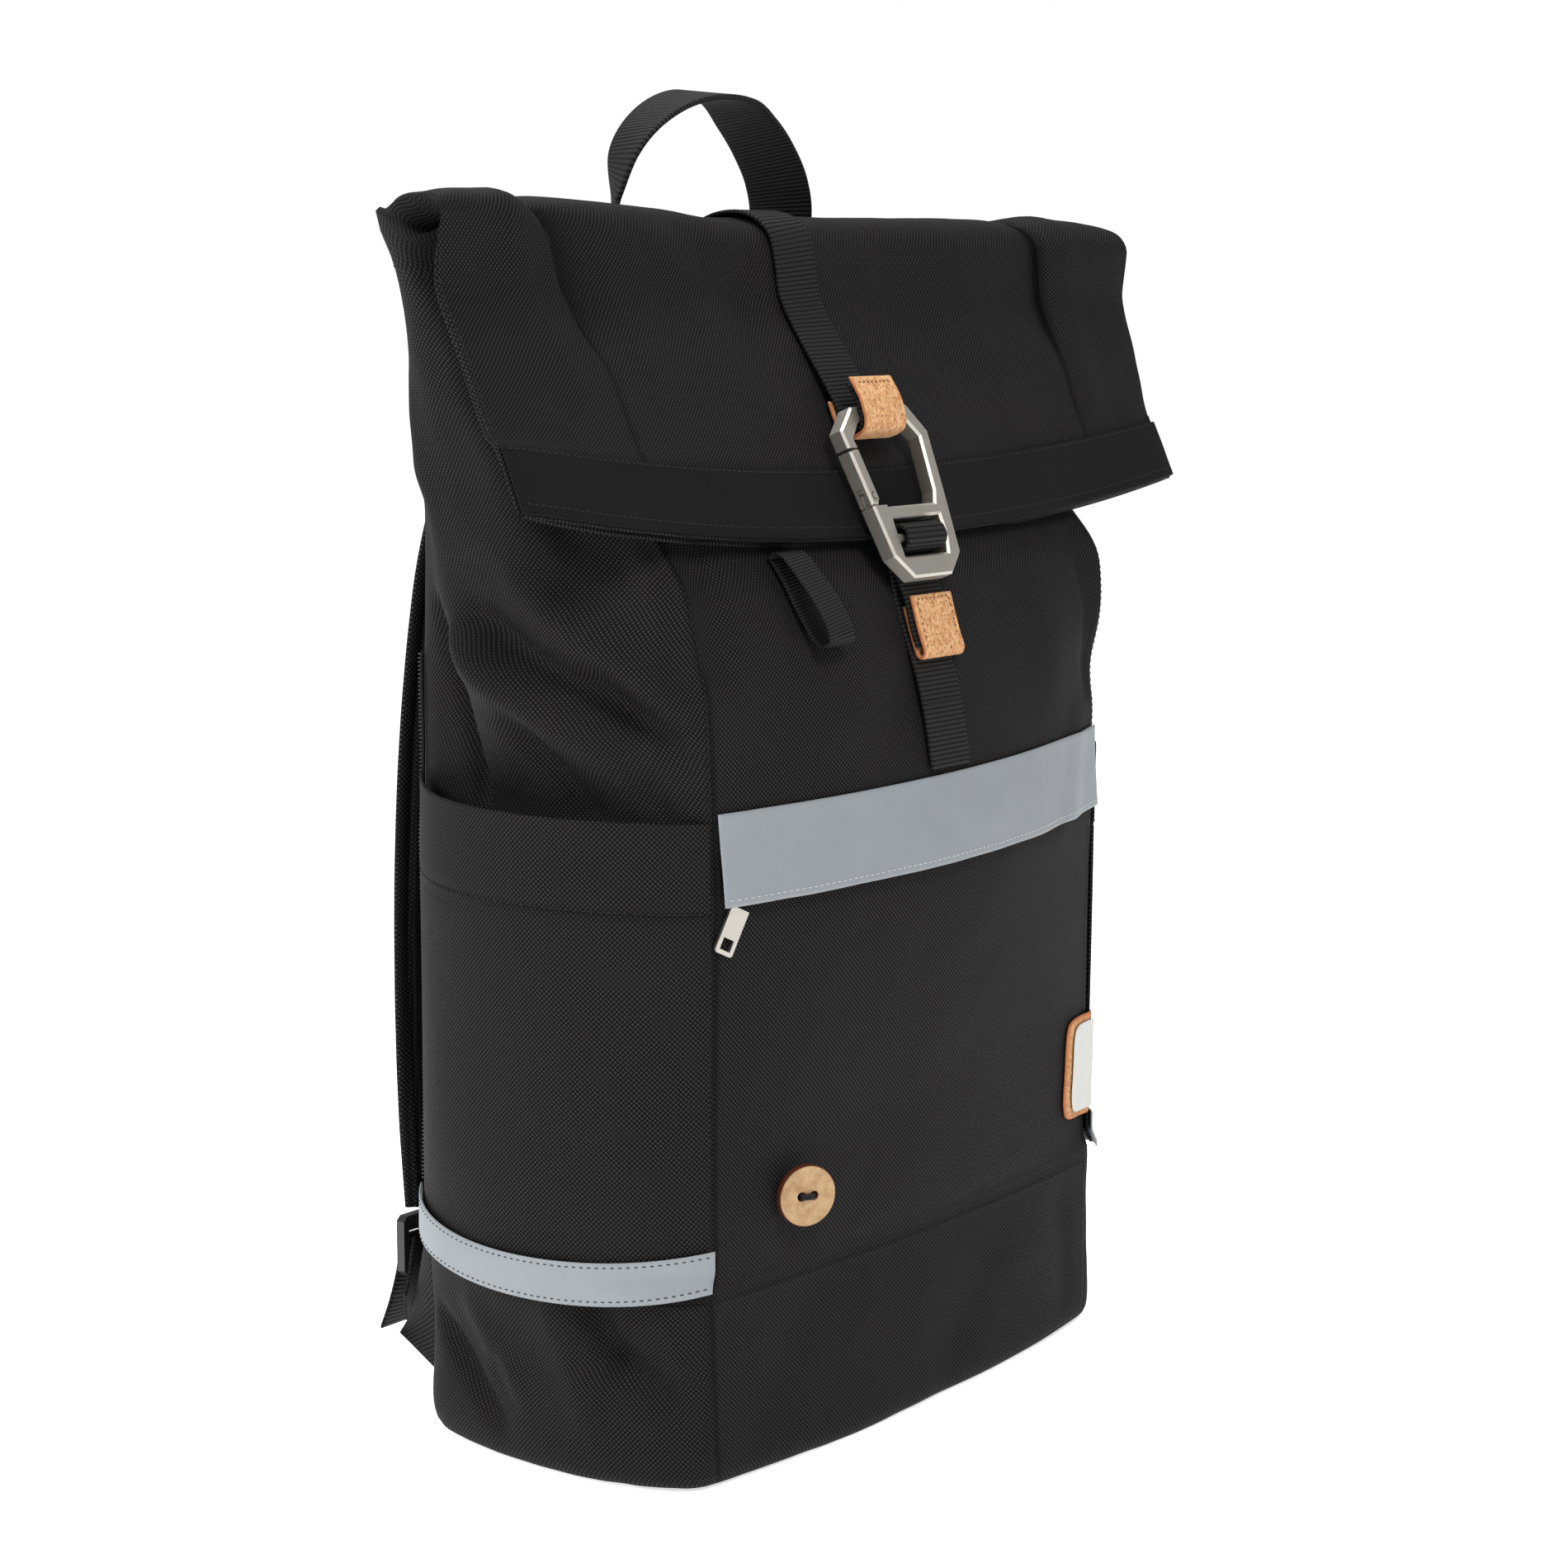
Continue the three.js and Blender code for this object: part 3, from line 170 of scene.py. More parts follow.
def bare(row, k):
    """The bag's outer face without folds: row up the bag, k round it."""
    c = section_at(row)
    g = {name: c[..., i] for name, i in AT.items()}
    k = np.mod(k, ROUND)
    mirror = k > HALF
    q = np.where(mirror, ROUND - k, k)
    tf = q / FRONT
    xf, df = g["fx"] * tf, g["fd"] + (g["fc"] - g["fd"]) * (1 - tf * tf)
    tb = (HALF - q) / FRONT
    xb, db = g["bx"] * tb, g["bd"] + (g["bc"] - g["bd"]) * (1 - tb * tb)
    ts = np.clip((q - FRONT) / SIDE, 0, 1)
    arch = np.sin(np.pi * ts) ** np.maximum(g["round"], 0.4)
    even = 0.5 * smooth(1 - g["round"], 0, 0.05)
    along = even * ts + (1 - even) * (1 - np.cos(np.pi * ts)) / 2
    xs = g["fx"] + (g["bx"] - g["fx"]) * ts + (g["sx"] - (g["fx"] + g["bx"]) / 2) * arch
    ds = g["fd"] + (g["bd"] - g["fd"]) * along
    x = np.where(q <= FRONT, xf, np.where(q >= FRONT + SIDE, xb, xs))
    d = np.where(q <= FRONT, df, np.where(q >= FRONT + SIDE, db, ds))
    x = np.where(mirror, -x, x)
    turn = np.radians(g["turn"])
    end = (x / FLAP_HALF) ** 2
    rise = np.where(x < 0, g["lift_l"], g["lift_r"]) * end
    out = np.where(x < 0, g["out_l"], g["out_r"]) * end
    points = np.stack([x, g["y"] + np.cos(turn) * d + out, g["z"] + np.sin(turn) * d + rise], -1)
    for at_k, at_row, reach_k, reach_row, *way in PULLS.values():
        near = (np.mod(k - at_k + HALF, ROUND) - HALF) / reach_k
        pull = np.exp(-(near ** 2 + ((row - at_row) / reach_row) ** 2))
        points = points + pull[..., None] * way
    return points


def cross_normal(surface, row, k, dr=0.03, dk=0.03):
    """Outward normal of a surface of row and k."""
    up = surface(np.minimum(row + dr, ROWS), k) - surface(np.maximum(row - dr, 0), k)
    on = surface(row, k + dk) - surface(row, k - dk)
    n = np.cross(on, up)
    return n / np.maximum(np.linalg.norm(n, axis=-1, keepdims=True), 1e-9)


def climb_table():
    """Length up the cloth at each row, the height itself while the bag stands upright."""
    rows = np.linspace(UPRIGHT, ROWS, 401)
    line = bare(rows, np.full_like(rows, HALF))
    steps = np.linalg.norm(np.diff(line, axis=0), axis=-1)
    return rows, SECTIONS[UPRIGHT, AT["z"]] + np.concatenate([[0], np.cumsum(steps)])


CLIMB_ROWS, CLIMB = climb_table()


def climb(row):
    """Length up the cloth at a row."""
    return np.where(row <= UPRIGHT, section_at(row)[..., AT["z"]], np.interp(row, CLIMB_ROWS, CLIMB))


def row_at_climb(v):
    """The row at a length up the cloth."""
    return np.where(v <= CLIMB[0], row_of(v), np.interp(v, CLIMB, CLIMB_ROWS))


# Folds of the cloth: from one point to another, each given as (place round, climb), then the reach to each
# side and the height, in millimetres, outwards positive.
FOLDS = {
    "full side of the left pleat": ((40.2, 486), (38.9, 560), 7, 1.6),
    "long swell beside the pleat": ((36.4, 492), (36.2, 556), 12, 1.6),
    "soft pull to the left corner": ((34.6, 492), (32.0, 530), 8, -1.5),
    "swell under that pull": ((35.4, 500), (33.4, 540), 9, 1.1),
    "right pleat of the flap": ((21.9, 480), (21.6, 590), 4, -1.2),
    "right pleat's full side": ((20.6, 478), (20.7, 585), 9, 1.6),
    "strap pull on the flap, left": ((32.0, 492), (32.6, 560), 9, -1.5),
    "strap pull on the flap, right": ((27.9, 492), (26.0, 560), 10, -1.7),
    "swell at the right of the flap": ((25.0, 500), (24.0, 590), 16, 1.8),
    "flap edge rolled at the left": ((43.9, 520), (44.4, 600), 4, 0.9),
    "top edge hollow left of the strap": ((33.4, 478), (31.2, 492), 10, -1.6),
    "bulge of the left side": ((41.6, 330), (44.6, 268), 15, 5.0),
    "big slanting fold of the left side": ((42.8, 306), (48.8, 262), 9, 8.4),
    "hollow over the slanting fold": ((43.6, 318), (49.2, 280), 6, -7.4),
    "hollow under the slanting fold": ((40.7, 316), (42.6, 244), 6, -7.5),
    "second slanting fold": ((45.6, 328), (50.8, 284), 9, 5.8),
    "hollow of the second fold": ((47.6, 300), (50.6, 270), 5, -5.0),
    "tuck to the mouth": ((45.0, 280), (47.6, 244), 6, -5.2),
    "second tuck to the mouth": ((48.6, 268), (50.2, 244), 5, -2.6),
    "fold from the front corner": ((50.8, 338), (49.4, 290), 8, 2.2),
    "gather under the flap at the left": ((53.0, 340), (52.2, 296), 8, -3.4),
    "hollow beside the flap": ((46.4, 400), (48.6, 345), 12, -3.4),
    "front fold under the loop": ((55.0, 332), (56.6, 280), 9, -1.8),
    "front swell under the loop": ((57.4, 326), (56.0, 268), 13, 1.6),
    "front pull to the strap": ((0.6, 318), (-2.6, 262), 12, -1.4),
    "right seam fold": ((7.2, 330), (7.6, 270), 5, -2.4),
    "right front swell": ((5.4, 322), (5.0, 262), 14, 1.6),
    "right strip wrinkle": ((6.9, 262), (5.6, 214), 7, 1.1),
    "upright hollow of the left side": ((45.5, 420), (44.5, 350), 18, -3.0),
    "soft ridge of the left side": ((41.6, 400), (42.0, 340), 10, 2.2),
    "base fold, front": ((47.2, 72), (48.4, 42), 6, -6.2),
    "base dent tail": ((48.2, 47), (50.8, 30), 6, -4.6),
    "base fold ridge, front": ((45.9, 68), (47.2, 24), 9, 3.2),
    "base ridge over the tail": ((49.6, 62), (51.0, 44), 8, 2.6),
    "base fold, rear": ((39.9, 48), (43.8, 15), 5, -4.6),
    "base fold ridge, rear": ((42.2, 58), (44.8, 26), 8, 2.8),
    "base dent, rear": ((43.4, 40), (44.2, 22), 5, -2.4),
    "base pull at the front corner": ((55.4, 62), (53.4, 14), 9, -1.2),
    "base sag, front": ((3.0, 58), (0.4, 10), 14, -1.2),
    "base sag, right": ((6.4, 60), (6.8, 14), 8, -1.4),
    "back swell between the straps": ((30, 330), (30, 150), 40, 2.0),
}
# Sharp creases that run up the cloth: their line as (place round, climb), their depth, and how far they
# reach towards the greater and the smaller place round, in millimetres.
PLEAT_LINE = ((39.9, 474), (39.4, 488), (38.7, 500), (38.15, 512), (37.8, 526), (37.6, 556))
CREASES = {
    "left pleat": (PLEAT_LINE, 8.0, 1.6, 9.0),
    "tuck at the right corner": (((21.9, 474), (21.75, 500), (21.6, 530), (21.6, 560)), 3.0, 7.0, 1.8),
}
# The panels' back edges run straight up to EDGE_BENDS, and then in the pleat and beside the tuck.
EDGES = {
    FRONT + SIDE: ((21.9, 474), (21.82, 488), (21.75, 500), (21.69, 512), (21.62, 526), (21.6, 556)),
    ROUND - FRONT - SIDE: PLEAT_LINE,
}
EDGE_BENDS = 400.0     # climb
STEP_MM = 13.0         # about one step round the bag
FOLD_FADE = 0.25       # share of a fold over which it dies away at each end
RIPPLE_RADIUS = 150.0  # of the round bag on which the ripples are laid out
# The doubled cloth at the left end of the roll: where it starts as a climb, the rows where it ends, its
# middle and reach round the bag, and how far it stands out.
FACING_FOOT, FACING_ENDS = 434.5, (16.25, 16.6)
FACING_MID, FACING_REACH, FACING_PROUD = 43.4, 2.6, 1.3


def ripples(u, v, wave, seed, count=9):
    """Soft unevenness of cloth: a seeded sum of waves about as long as wave."""
    rng = np.random.default_rng(seed)
    total = np.zeros(np.broadcast(u, v).shape)
    for _ in range(count):
        a, length, phase = rng.uniform(0, 2 * np.pi), wave * rng.uniform(0.7, 1.6), rng.uniform(0, 2 * np.pi)
        total += np.sin(2 * np.pi * (u * np.cos(a) + v * np.sin(a)) / length + phase)
    return total / math.sqrt(count)


def along_crease(k, v, start, end):
    """Distance to a fold's line in millimetres, and the place along it as a share of its length."""
    ax, ay = start[0] * STEP_MM, start[1]
    bx, by = end[0] * STEP_MM, end[1]
    x, y = k * STEP_MM, v
    dx, dy = bx - ax, by - ay
    t = ((x - ax) * dx + (y - ay) * dy) / (dx * dx + dy * dy)
    tc = np.clip(t, 0, 1)
    return np.hypot(x - ax - tc * dx, y - ay - tc * dy), t


def crease_shares(v, k):
    """Each crease's depth, and how much of it acts at a point, 0 to 1."""
    for line, depth, above, below in CREASES.values():
        line = np.array(line)
        foot, middle, head = line[0, 1], line[len(line) // 2, 1], line[-1, 1]
        lasts = smooth(v, foot - 8, foot + 10) * (1 - smooth(v, middle, head + 2))
        aside = (k - np.interp(v, line[:, 1], line[:, 0])) * STEP_MM
        yield depth, lasts * np.exp(-np.abs(aside) / np.where(aside > 0, above, below))


def crease_shade(v, k):
    """How far into the creases a point lies, 0 to 1; the cloth's colour uses it as painted shade."""
    return np.clip(sum(share for _, share in crease_shares(v, k)), 0, 1)


def panel_edge(k, v):
    """Place round of a panel's edge at each climb."""
    if k not in EDGES:
        return np.full(len(v), k)
    line = np.array(EDGES[k])
    return np.interp(v, [0, EDGE_BENDS, *line[:, 1]], [k, k, *line[:, 0]])


def cloth_relief(row, k):
    """How far the cloth stands out from the plain section, in millimetres."""
    v = climb(row)
    k = np.mod(k, ROUND)
    standing = smooth(-row, -UPRIGHT - 0.4, -UPRIGHT + 0.6)
    total = np.zeros(np.broadcast(row, k).shape)
    for dk_at, z, dk, dz, depth in DENTS.values():
        near = (np.mod(k - dk_at + HALF, ROUND) - HALF) / dk
        total -= standing * depth * np.exp(-(near ** 2 + ((v - z) / dz) ** 2))
    for start, end, width, height in FOLDS.values():
        near = np.mod(k - start[0] + HALF, ROUND) - HALF + start[0]
        d, t = along_crease(near, v, start, end)
        fades = smooth(t, -FOLD_FADE, FOLD_FADE) * smooth(1 - t, -FOLD_FADE, FOLD_FADE)
        total += height * np.exp(-(d / width) ** 2) * fades
    for depth, share in crease_shares(v, k):
        total -= depth * share
    facing = smooth(v, FACING_FOOT, FACING_FOOT + 2) * (1 - smooth(row, *FACING_ENDS))
    total += FACING_PROUD * facing * np.exp(-((k - FACING_MID) / FACING_REACH) ** 4)
    a = 2 * np.pi * k / ROUND
    u, w = RIPPLE_RADIUS * np.sin(a), RIPPLE_RADIUS * np.cos(a)
    total += 0.3 * ripples(u, v, 90, 3) + 0.3 * ripples(w, v, 80, 4) + 0.1 * ripples(u + w, v, 28, 5)
    return total * settings().fold_strength


def skin(row, k):
    """The bag's outer face with its folds."""
    row, k = np.broadcast_arrays(np.asarray(row, float), np.asarray(k, float))
    return bare(row, k) + cross_normal(bare, row, k) * cloth_relief(row, k)[..., None]


def skin_frame(row, k):
    """Points of the bag's outer face, and the outward directions there."""
    row, k = np.broadcast_arrays(np.asarray(row, float), np.asarray(k, float))
    return skin(row, k), cross_normal(skin, row, k, 0.06, 0.06)


def front_k(x):
    """Place round the bag of a point of the front, x from its middle."""
    return FRONT * x / FRONT_HALF


# Meshes.
def arc_lengths(points, axis):
    """Length along the points of one axis of a grid."""
    steps = np.linalg.norm(np.diff(points, axis=axis), axis=-1)
    start = np.zeros_like(np.take(steps, [0], axis=axis))
    return np.concatenate([start, np.cumsum(steps, axis=axis)], axis=axis)


def cloth_uv(points):
    """Places on the cloth in millimetres, counted from the middle across and from the foot up."""
    across = arc_lengths(points, 1)
    return np.stack([across - across[:, -1:] / 2, arc_lengths(points, 0)], -1)


def make_mesh(name, points, faces, uv=None, soft=True, marks=None):
    """A mesh object from points in millimetres, with a place and named marks for each point."""
    mesh = bpy.data.meshes.new(name)
    faces = faces if isinstance(faces, list) else faces.tolist()
    mesh.from_pydata((np.asarray(points) * MM).tolist(), [], faces)
    mesh.update()
    corners = np.zeros(len(mesh.loops), np.int32)
    mesh.loops.foreach_get("vertex_index", corners)
    layer = mesh.uv_layers.new(name="cloth")
    flat = np.zeros((len(points), 2)) if uv is None else np.asarray(uv).reshape(-1, 2)
    layer.data.foreach_set("uv", flat[corners].astype(np.float32).ravel())
    for key, values in (marks or {}).items():
        mark = mesh.attributes.new(key, "FLOAT", "POINT")
        mark.data.foreach_set("value", np.asarray(values, np.float32).ravel())
    if soft:
        mesh.polygons.foreach_set("use_smooth", np.ones(len(mesh.polygons), bool))
    obj = bpy.data.objects.new(name, mesh)
    bpy.context.scene.collection.objects.link(obj)
    return obj


def grid_faces(rows, cols, start=0, flip=False, wrap=False):
    """The quads of a grid of points whose first one has the number start."""
    i, j = np.meshgrid(np.arange(rows if wrap else rows - 1), np.arange(cols - 1), indexing="ij")
    n = (i + 1) % rows
    corners = [i * cols + j, i * cols + j + 1, n * cols + j + 1, n * cols + j]
    quads = np.stack(corners, -1).reshape(-1, 4) + start
    return quads[:, ::-1] if flip else quads


RIM_EASE = np.array([0.35, 0.88, 1.0])     # share of the thickness at a sheet's rim and just inside it


def slab(name, mid, normal, thick, uv=None, marks=None, wrap=False):
    """A thin closed sheet with rounded rims about a grid of middle points."""
    rows, cols = mid.shape[:2]
    uv = cloth_uv(mid) if uv is None else uv
    inside = len(RIM_EASE) - 1
    i = np.minimum(np.minimum(np.arange(rows), np.arange(rows)[::-1]), inside)
    j = np.minimum(np.minimum(np.arange(cols), np.arange(cols)[::-1]), inside)
    if wrap:
        i = np.full(rows, inside)
    off = (thick * np.minimum(RIM_EASE[i][:, None], RIM_EASE[j][None, :]) / 2)[..., None]
    upper, lower = mid + normal * off, mid - normal * off
    count = rows * cols
    faces = [grid_faces(rows, cols, 0, wrap=wrap), grid_faces(rows, cols, count, flip=True, wrap=wrap)]
    if wrap:
        side = [np.append(np.arange(rows), 0) * cols + e for e in (0, cols - 1)]
        loops = [(side[0][:-1], side[0][1:], True), (side[1][:-1], side[1][1:], False)]
    else:
        last = (rows - 1) * cols
        edge = np.concatenate([np.arange(cols), np.arange(1, rows) * cols + cols - 1,
                               last + np.arange(cols - 2, -1, -1), np.arange(rows - 2, -1, -1) * cols])
        loops = [(edge[:-1], edge[1:], False)]
    for a, b, flip in loops:
        quad = np.stack([a, a + count, b + count, b], -1)
        faces.append(quad[:, ::-1] if flip else quad)
    both = {key: np.concatenate([np.ravel(v), np.ravel(v)]) for key, v in (marks or {}).items()}
    points = np.concatenate([upper.reshape(-1, 3), lower.reshape(-1, 3)])
    places = np.concatenate([uv.reshape(-1, 2)] * 2)
    return make_mesh(name, points, np.concatenate(faces), places, marks=both)


def rim_steps(low, high, count, rim):
    """Even steps with close ones at both rims, so that the rim rounds off."""
    inner = np.linspace(low + 2.4 * rim, high - 2.4 * rim, count)
    return np.concatenate([[low, low + rim * 0.8], inner, [high - rim * 0.8, high]])


def finish_piece(obj, finish, slot, *nodes):
    """Gives a piece its finish, lets it ride on the bag and hides the nodes it stands for."""
    obj.data.materials.clear()
    obj.data.materials.append(finishes[finish])
    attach(obj, "bag")
    if nodes:
        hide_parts(*nodes)
    return obj


def finish_solid(node, finish, edge, segments=2, sharp=30):
    """Gives a solid that stays its finish and softly rounded edges, where it turns by sharp degrees."""
    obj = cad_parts[node]
    obj.data.materials.clear()
    obj.data.materials.append(finishes[finish])
    bevel = obj.modifiers.new("soft edges", "BEVEL")
    bevel.width, bevel.segments = edge * MM, segments
    bevel.limit_method, bevel.angle_limit = "ANGLE", math.radians(sharp)


def join(name, parts):
    """Joins mesh objects of this script into one."""
    with bpy.context.temp_override(active_object=parts[0], object=parts[0], selected_objects=parts,
                                   selected_editable_objects=parts):
        bpy.ops.object.join()
    parts[0].name = name
    parts[0].data.name = name
    return parts[0]


def spline(points, step):
    """A smooth line through points, with a point about every step millimetres."""
    p = np.asarray(points, float)
    m = np.gradient(p, axis=0)
    out = []
    for i in range(len(p) - 1):
        length = np.linalg.norm(p[i + 1] - p[i])
        t = np.linspace(0, 1, max(2, int(length / step) + 1), endpoint=False)[:, None]
        limit = min(1.0, 1.6 * length / max(np.linalg.norm(m[i]), np.linalg.norm(m[i + 1]), 1e-6))
        a, b = m[i] * limit, m[i + 1] * limit
        out.append(p[i] * (2 * t**3 - 3 * t**2 + 1) + a * (t**3 - 2 * t**2 + t)
                   + p[i + 1] * (3 * t**2 - 2 * t**3) + b * (t**3 - t**2))
    return np.concatenate(out + [p[-1:]])


def ribbon(name, line, wide, width, thick, wrap=False, columns=9):
    """Webbing along a line of points; wide is the direction of its width at each point."""
    line, wide = np.asarray(line, float), np.asarray(wide, float)
    along = np.roll(line, -1, 0) - np.roll(line, 1, 0) if wrap else np.gradient(line, axis=0)
    along /= np.linalg.norm(along, axis=-1, keepdims=True)
    wide = wide - along * (wide * along).sum(-1, keepdims=True)
    wide /= np.linalg.norm(wide, axis=-1, keepdims=True)
    across = rim_steps(-width / 2, width / 2, columns, 0.35)
    mid = line[:, None] + wide[:, None] * across[None, :, None]
    normal = np.broadcast_to(np.cross(wide, along)[:, None], mid.shape)
    closed = np.concatenate([line, line[:1]]) if wrap else line
    far = arc_lengths(closed[:, None], 0)[: len(line), 0]
    uv = np.stack(np.broadcast_arrays(across[None, :], far[:, None]), -1)
    edge = np.broadcast_to(1 - smooth(width / 2 - np.abs(across), 0.2, 0.8), mid.shape[:2])
    return slab(name, mid, normal, thick, uv, marks={"edge": edge}, wrap=wrap)


# A stitch from end to end: how high it lies and how thick it is, as shares of its radius.
STITCH_RISE = np.array([-0.8, 0.55, 1, 0.55, -0.8])
STITCH_GIRTH = np.array([0.45, 0.95, 1, 0.95, 0.45])
STITCH_SIDES = 6


def stitches(name, line, out, pitch, share, radius, sink=0.05):
    """A row of sewn stitches along a line lying on cloth whose outward direction is out."""
    far = arc_lengths(line[:, None], 0)[:, 0]
    ring = np.radians(np.arange(0, 360, 360 / STITCH_SIDES))
    stations, sides = len(STITCH_RISE), STITCH_SIDES
    high, thin = STITCH_RISE * radius - sink, STITCH_GIRTH * radius
    points, faces = [], []
    for s in np.arange(pitch * 0.5, far[-1] - pitch * 0.5, pitch):
        at = np.linspace(s - pitch * share / 2, s + pitch * share / 2, stations)
        p = np.stack([np.interp(at, far, line[:, a]) for a in range(3)], -1)
        n = np.stack([np.interp(s, far, out[:, a]) for a in range(3)], -1)
        d = p[-1] - p[0]
        d /= np.linalg.norm(d)
        side = np.cross(n, d)
        base = len(points)
        for q in range(stations):
            for a in ring:
                rise = high[q] + thin[q] * math.sin(a) * 0.9
                points.append(p[q] + n * rise + side * thin[q] * math.cos(a))
        last = base + (stations - 1) * sides
        for low in range(base, last, sides):
            for a in range(sides):
                b = (a + 1) % sides
                faces.append([low + a, low + b, low + sides + b, low + sides + a])
        faces += [[base + a for a in reversed(range(sides))], [last + a for a in range(sides)]]
    return make_mesh(name, points, faces)


# Shader maths.
class Value:
    """A socket whose arithmetic adds Math nodes."""

    def __init__(self, graph, socket):
        self.graph, self.socket = graph, socket

    def __add__(self, other):
        return self.graph.math("ADD", self, other)

    def __sub__(self, other):
        return self.graph.math("SUBTRACT", self, other)

    def __rsub__(self, other):
        return self.graph.math("SUBTRACT", other, self)

    def __mul__(self, other):
        return self.graph.math("MULTIPLY", self, other)

    __radd__, __rmul__ = __add__, __mul__

    def sin(self):
        return self.graph.math("SINE", self)

    def abs(self):
        return self.graph.math("ABSOLUTE", self)

    def floor(self):
        return self.graph.math("FLOOR", self)

    def exp(self):
        return self.graph.math("EXPONENT", self)

    def band(self, low, high):
        """0 below low, 1 above high, smooth between."""
        return self.graph.node("ShaderNodeMapRange", {"interpolation_type": "SMOOTHSTEP"},
                               {"Value": self, "From Min": low, "From Max": high}).value("Result")


class Graph:
    """The node tree of a material or of the world, emptied."""

    def __init__(self, owner):
        owner.use_nodes = True
        self.owner, self.tree = owner, owner.node_tree
        self.tree.nodes.clear()

    def node(self, kind, settings=None, sockets=None):
        """Adds a node: its settings first, then the values or links of its sockets."""
        made = self.tree.nodes.new(kind)
        for key, value in (settings or {}).items():
            setattr(made, key, value)
        for key, value in (sockets or {}).items():
            socket = made.inputs[key]
            if isinstance(value, Value):
                value = value.socket
            if isinstance(value, bpy.types.NodeSocket):
                self.tree.links.new(value, socket)
            elif hasattr(value, "__len__") and socket.type == "RGBA" and len(value) == 3:
                socket.default_value = (*value, 1)
            else:
                socket.default_value = value
        return Made(self, made)

    def math(self, operation, *values):
        return self.node("ShaderNodeMath", {"operation": operation}, dict(enumerate(values))).value(0)

    def mix(self, share, a, b):
        """Mixes two colours."""
        return self.node("ShaderNodeMix", {"data_type": "RGBA"}, {0: share, 6: a, 7: b}).out(2)

    def mark(self, name):
        """A named number that the mesh carries at each point."""
        return self.node("ShaderNodeAttribute", {"attribute_name": name}).value("Fac")

    def place(self):
        """Place on the cloth, in millimetres."""
        uv = self.node("ShaderNodeUVMap", {"uv_map": "cloth"}).out("UV")
        split = self.node("ShaderNodeSeparateXYZ", {}, {0: uv})
        return split.value("X"), split.value("Y")

    def solid_place(self, scale):
        """Place in the part's own space, scaled."""
        here = self.node("ShaderNodeTexCoord").out("Object")
        return self.node("ShaderNodeVectorMath", {"operation": "SCALE"}, {0: here, "Scale": scale}).out(0)

    def noise(self, vector, scale, detail=3.0, rough=0.55):
        return self.node("ShaderNodeTexNoise", {}, {"Vector": vector, "Scale": scale, "Detail": detail,
                                                    "Roughness": rough}).value("Fac")

    def cells(self, vector):
        """Distance to the middle of the nearest cell."""
        return self.node("ShaderNodeTexVoronoi", {"feature": "F1"},
                         {"Vector": vector, "Scale": 1.0}).value("Distance")

    def vector(self, x, y):
        return self.node("ShaderNodeCombineXYZ", {}, {"X": x, "Y": y}).out(0)

    def bump(self, height, distance, strength):
        return self.node("ShaderNodeBump", {}, {"Height": height, "Distance": distance,
                                                "Strength": strength}).out("Normal")


class Finish(Graph):
    """A material with one Principled shader; sockets are the numbers that are the same all over it."""

    def __init__(self, name, **sockets):
        super().__init__(bpy.data.materials.new(name))
        same = {key.replace("_", " "): value for key, value in sockets.items()}
        self.shader = self.node("ShaderNodeBsdfPrincipled", {}, same)
        self.node("ShaderNodeOutputMaterial", {}, {"Surface": self.shader.out("BSDF")})

    def feed(self, **links):
        """Links what changes over the surface, and gives the material."""
        for key, value in links.items():
            self.tree.links.new(value.socket if isinstance(value, Value) else value,
                                self.shader.made.inputs[key.replace("_", " ")])
        return self.owner


class Made:
    """A node just made."""

    def __init__(self, graph, made):
        self.graph, self.made = graph, made

    def out(self, key):
        return self.made.outputs[key]

    def value(self, key):
        return Value(self.graph, self.made.outputs[key])


# Finishes.
def oxford(name, pitch, dark, light, seams=False):
    """Black coated oxford cloth: a plain weave of thick threads with small knuckles where they cross; the
    knuckles' light colour is painted highlight, and the dark between the threads painted shade.
    """
    g = Finish(name, Specular_IOR_Level=0.09)
    u, v = g.place()
    slub = g.noise(g.vector(u * 0.06, v * 0.9), 1.0, 2.0)
    turn = math.pi / pitch
    over = (u * turn).sin() * (v * turn + (slub - 0.5) * 0.8).sin()
    knuckle_and_painted_highlight = over.band(-0.25, 0.95)
    thread = over.abs()
    worn = g.noise(g.vector(u, v), 0.021, 4.0)
    lint = g.noise(g.vector(u, v), 0.9, 2.0).band(0.66, 0.78)
    # Painted highlight on the knuckles, painted shade between the threads.
    shade = g.mix(knuckle_and_painted_highlight, dark, light)
    shade = g.mix((worn - 0.4) * 0.5, shade, (0.016, 0.0152, 0.0155))
    shade = g.mix(lint * 0.05, shade, (0.07, 0.068, 0.07))
    height = knuckle_and_painted_highlight * 0.62 + thread * 0.38 + slub * 0.22
    if seams:
        d = g.mark("seam")
        # Dark line along each seam: partly the joint's own dark, and widened as painted shade of the seam's
        # groove.
        shade = g.mix((d * -0.9).exp() * 0.85, shade, (0.002, 0.002, 0.002))
        # Painted shade: the cloth darkens where it lies in a crease, standing in for the shadow there.
        shade = g.mix(g.mark("painted_crease_shade").band(0.05, 0.8) * 0.9, shade, (0.0025, 0.0023, 0.0024))
        lie = ((d - 2.4) * (d - 2.4) * -0.3).exp() * 1.3 - (d * d * -0.9).exp() * 4.5
        height = height + lie
    rough = 0.5 + (1 - knuckle_and_painted_highlight) * 0.22 + worn * 0.08
    return g.feed(Base_Color=shade, Roughness=rough, Normal=g.bump(height, 0.0002, 1.0))


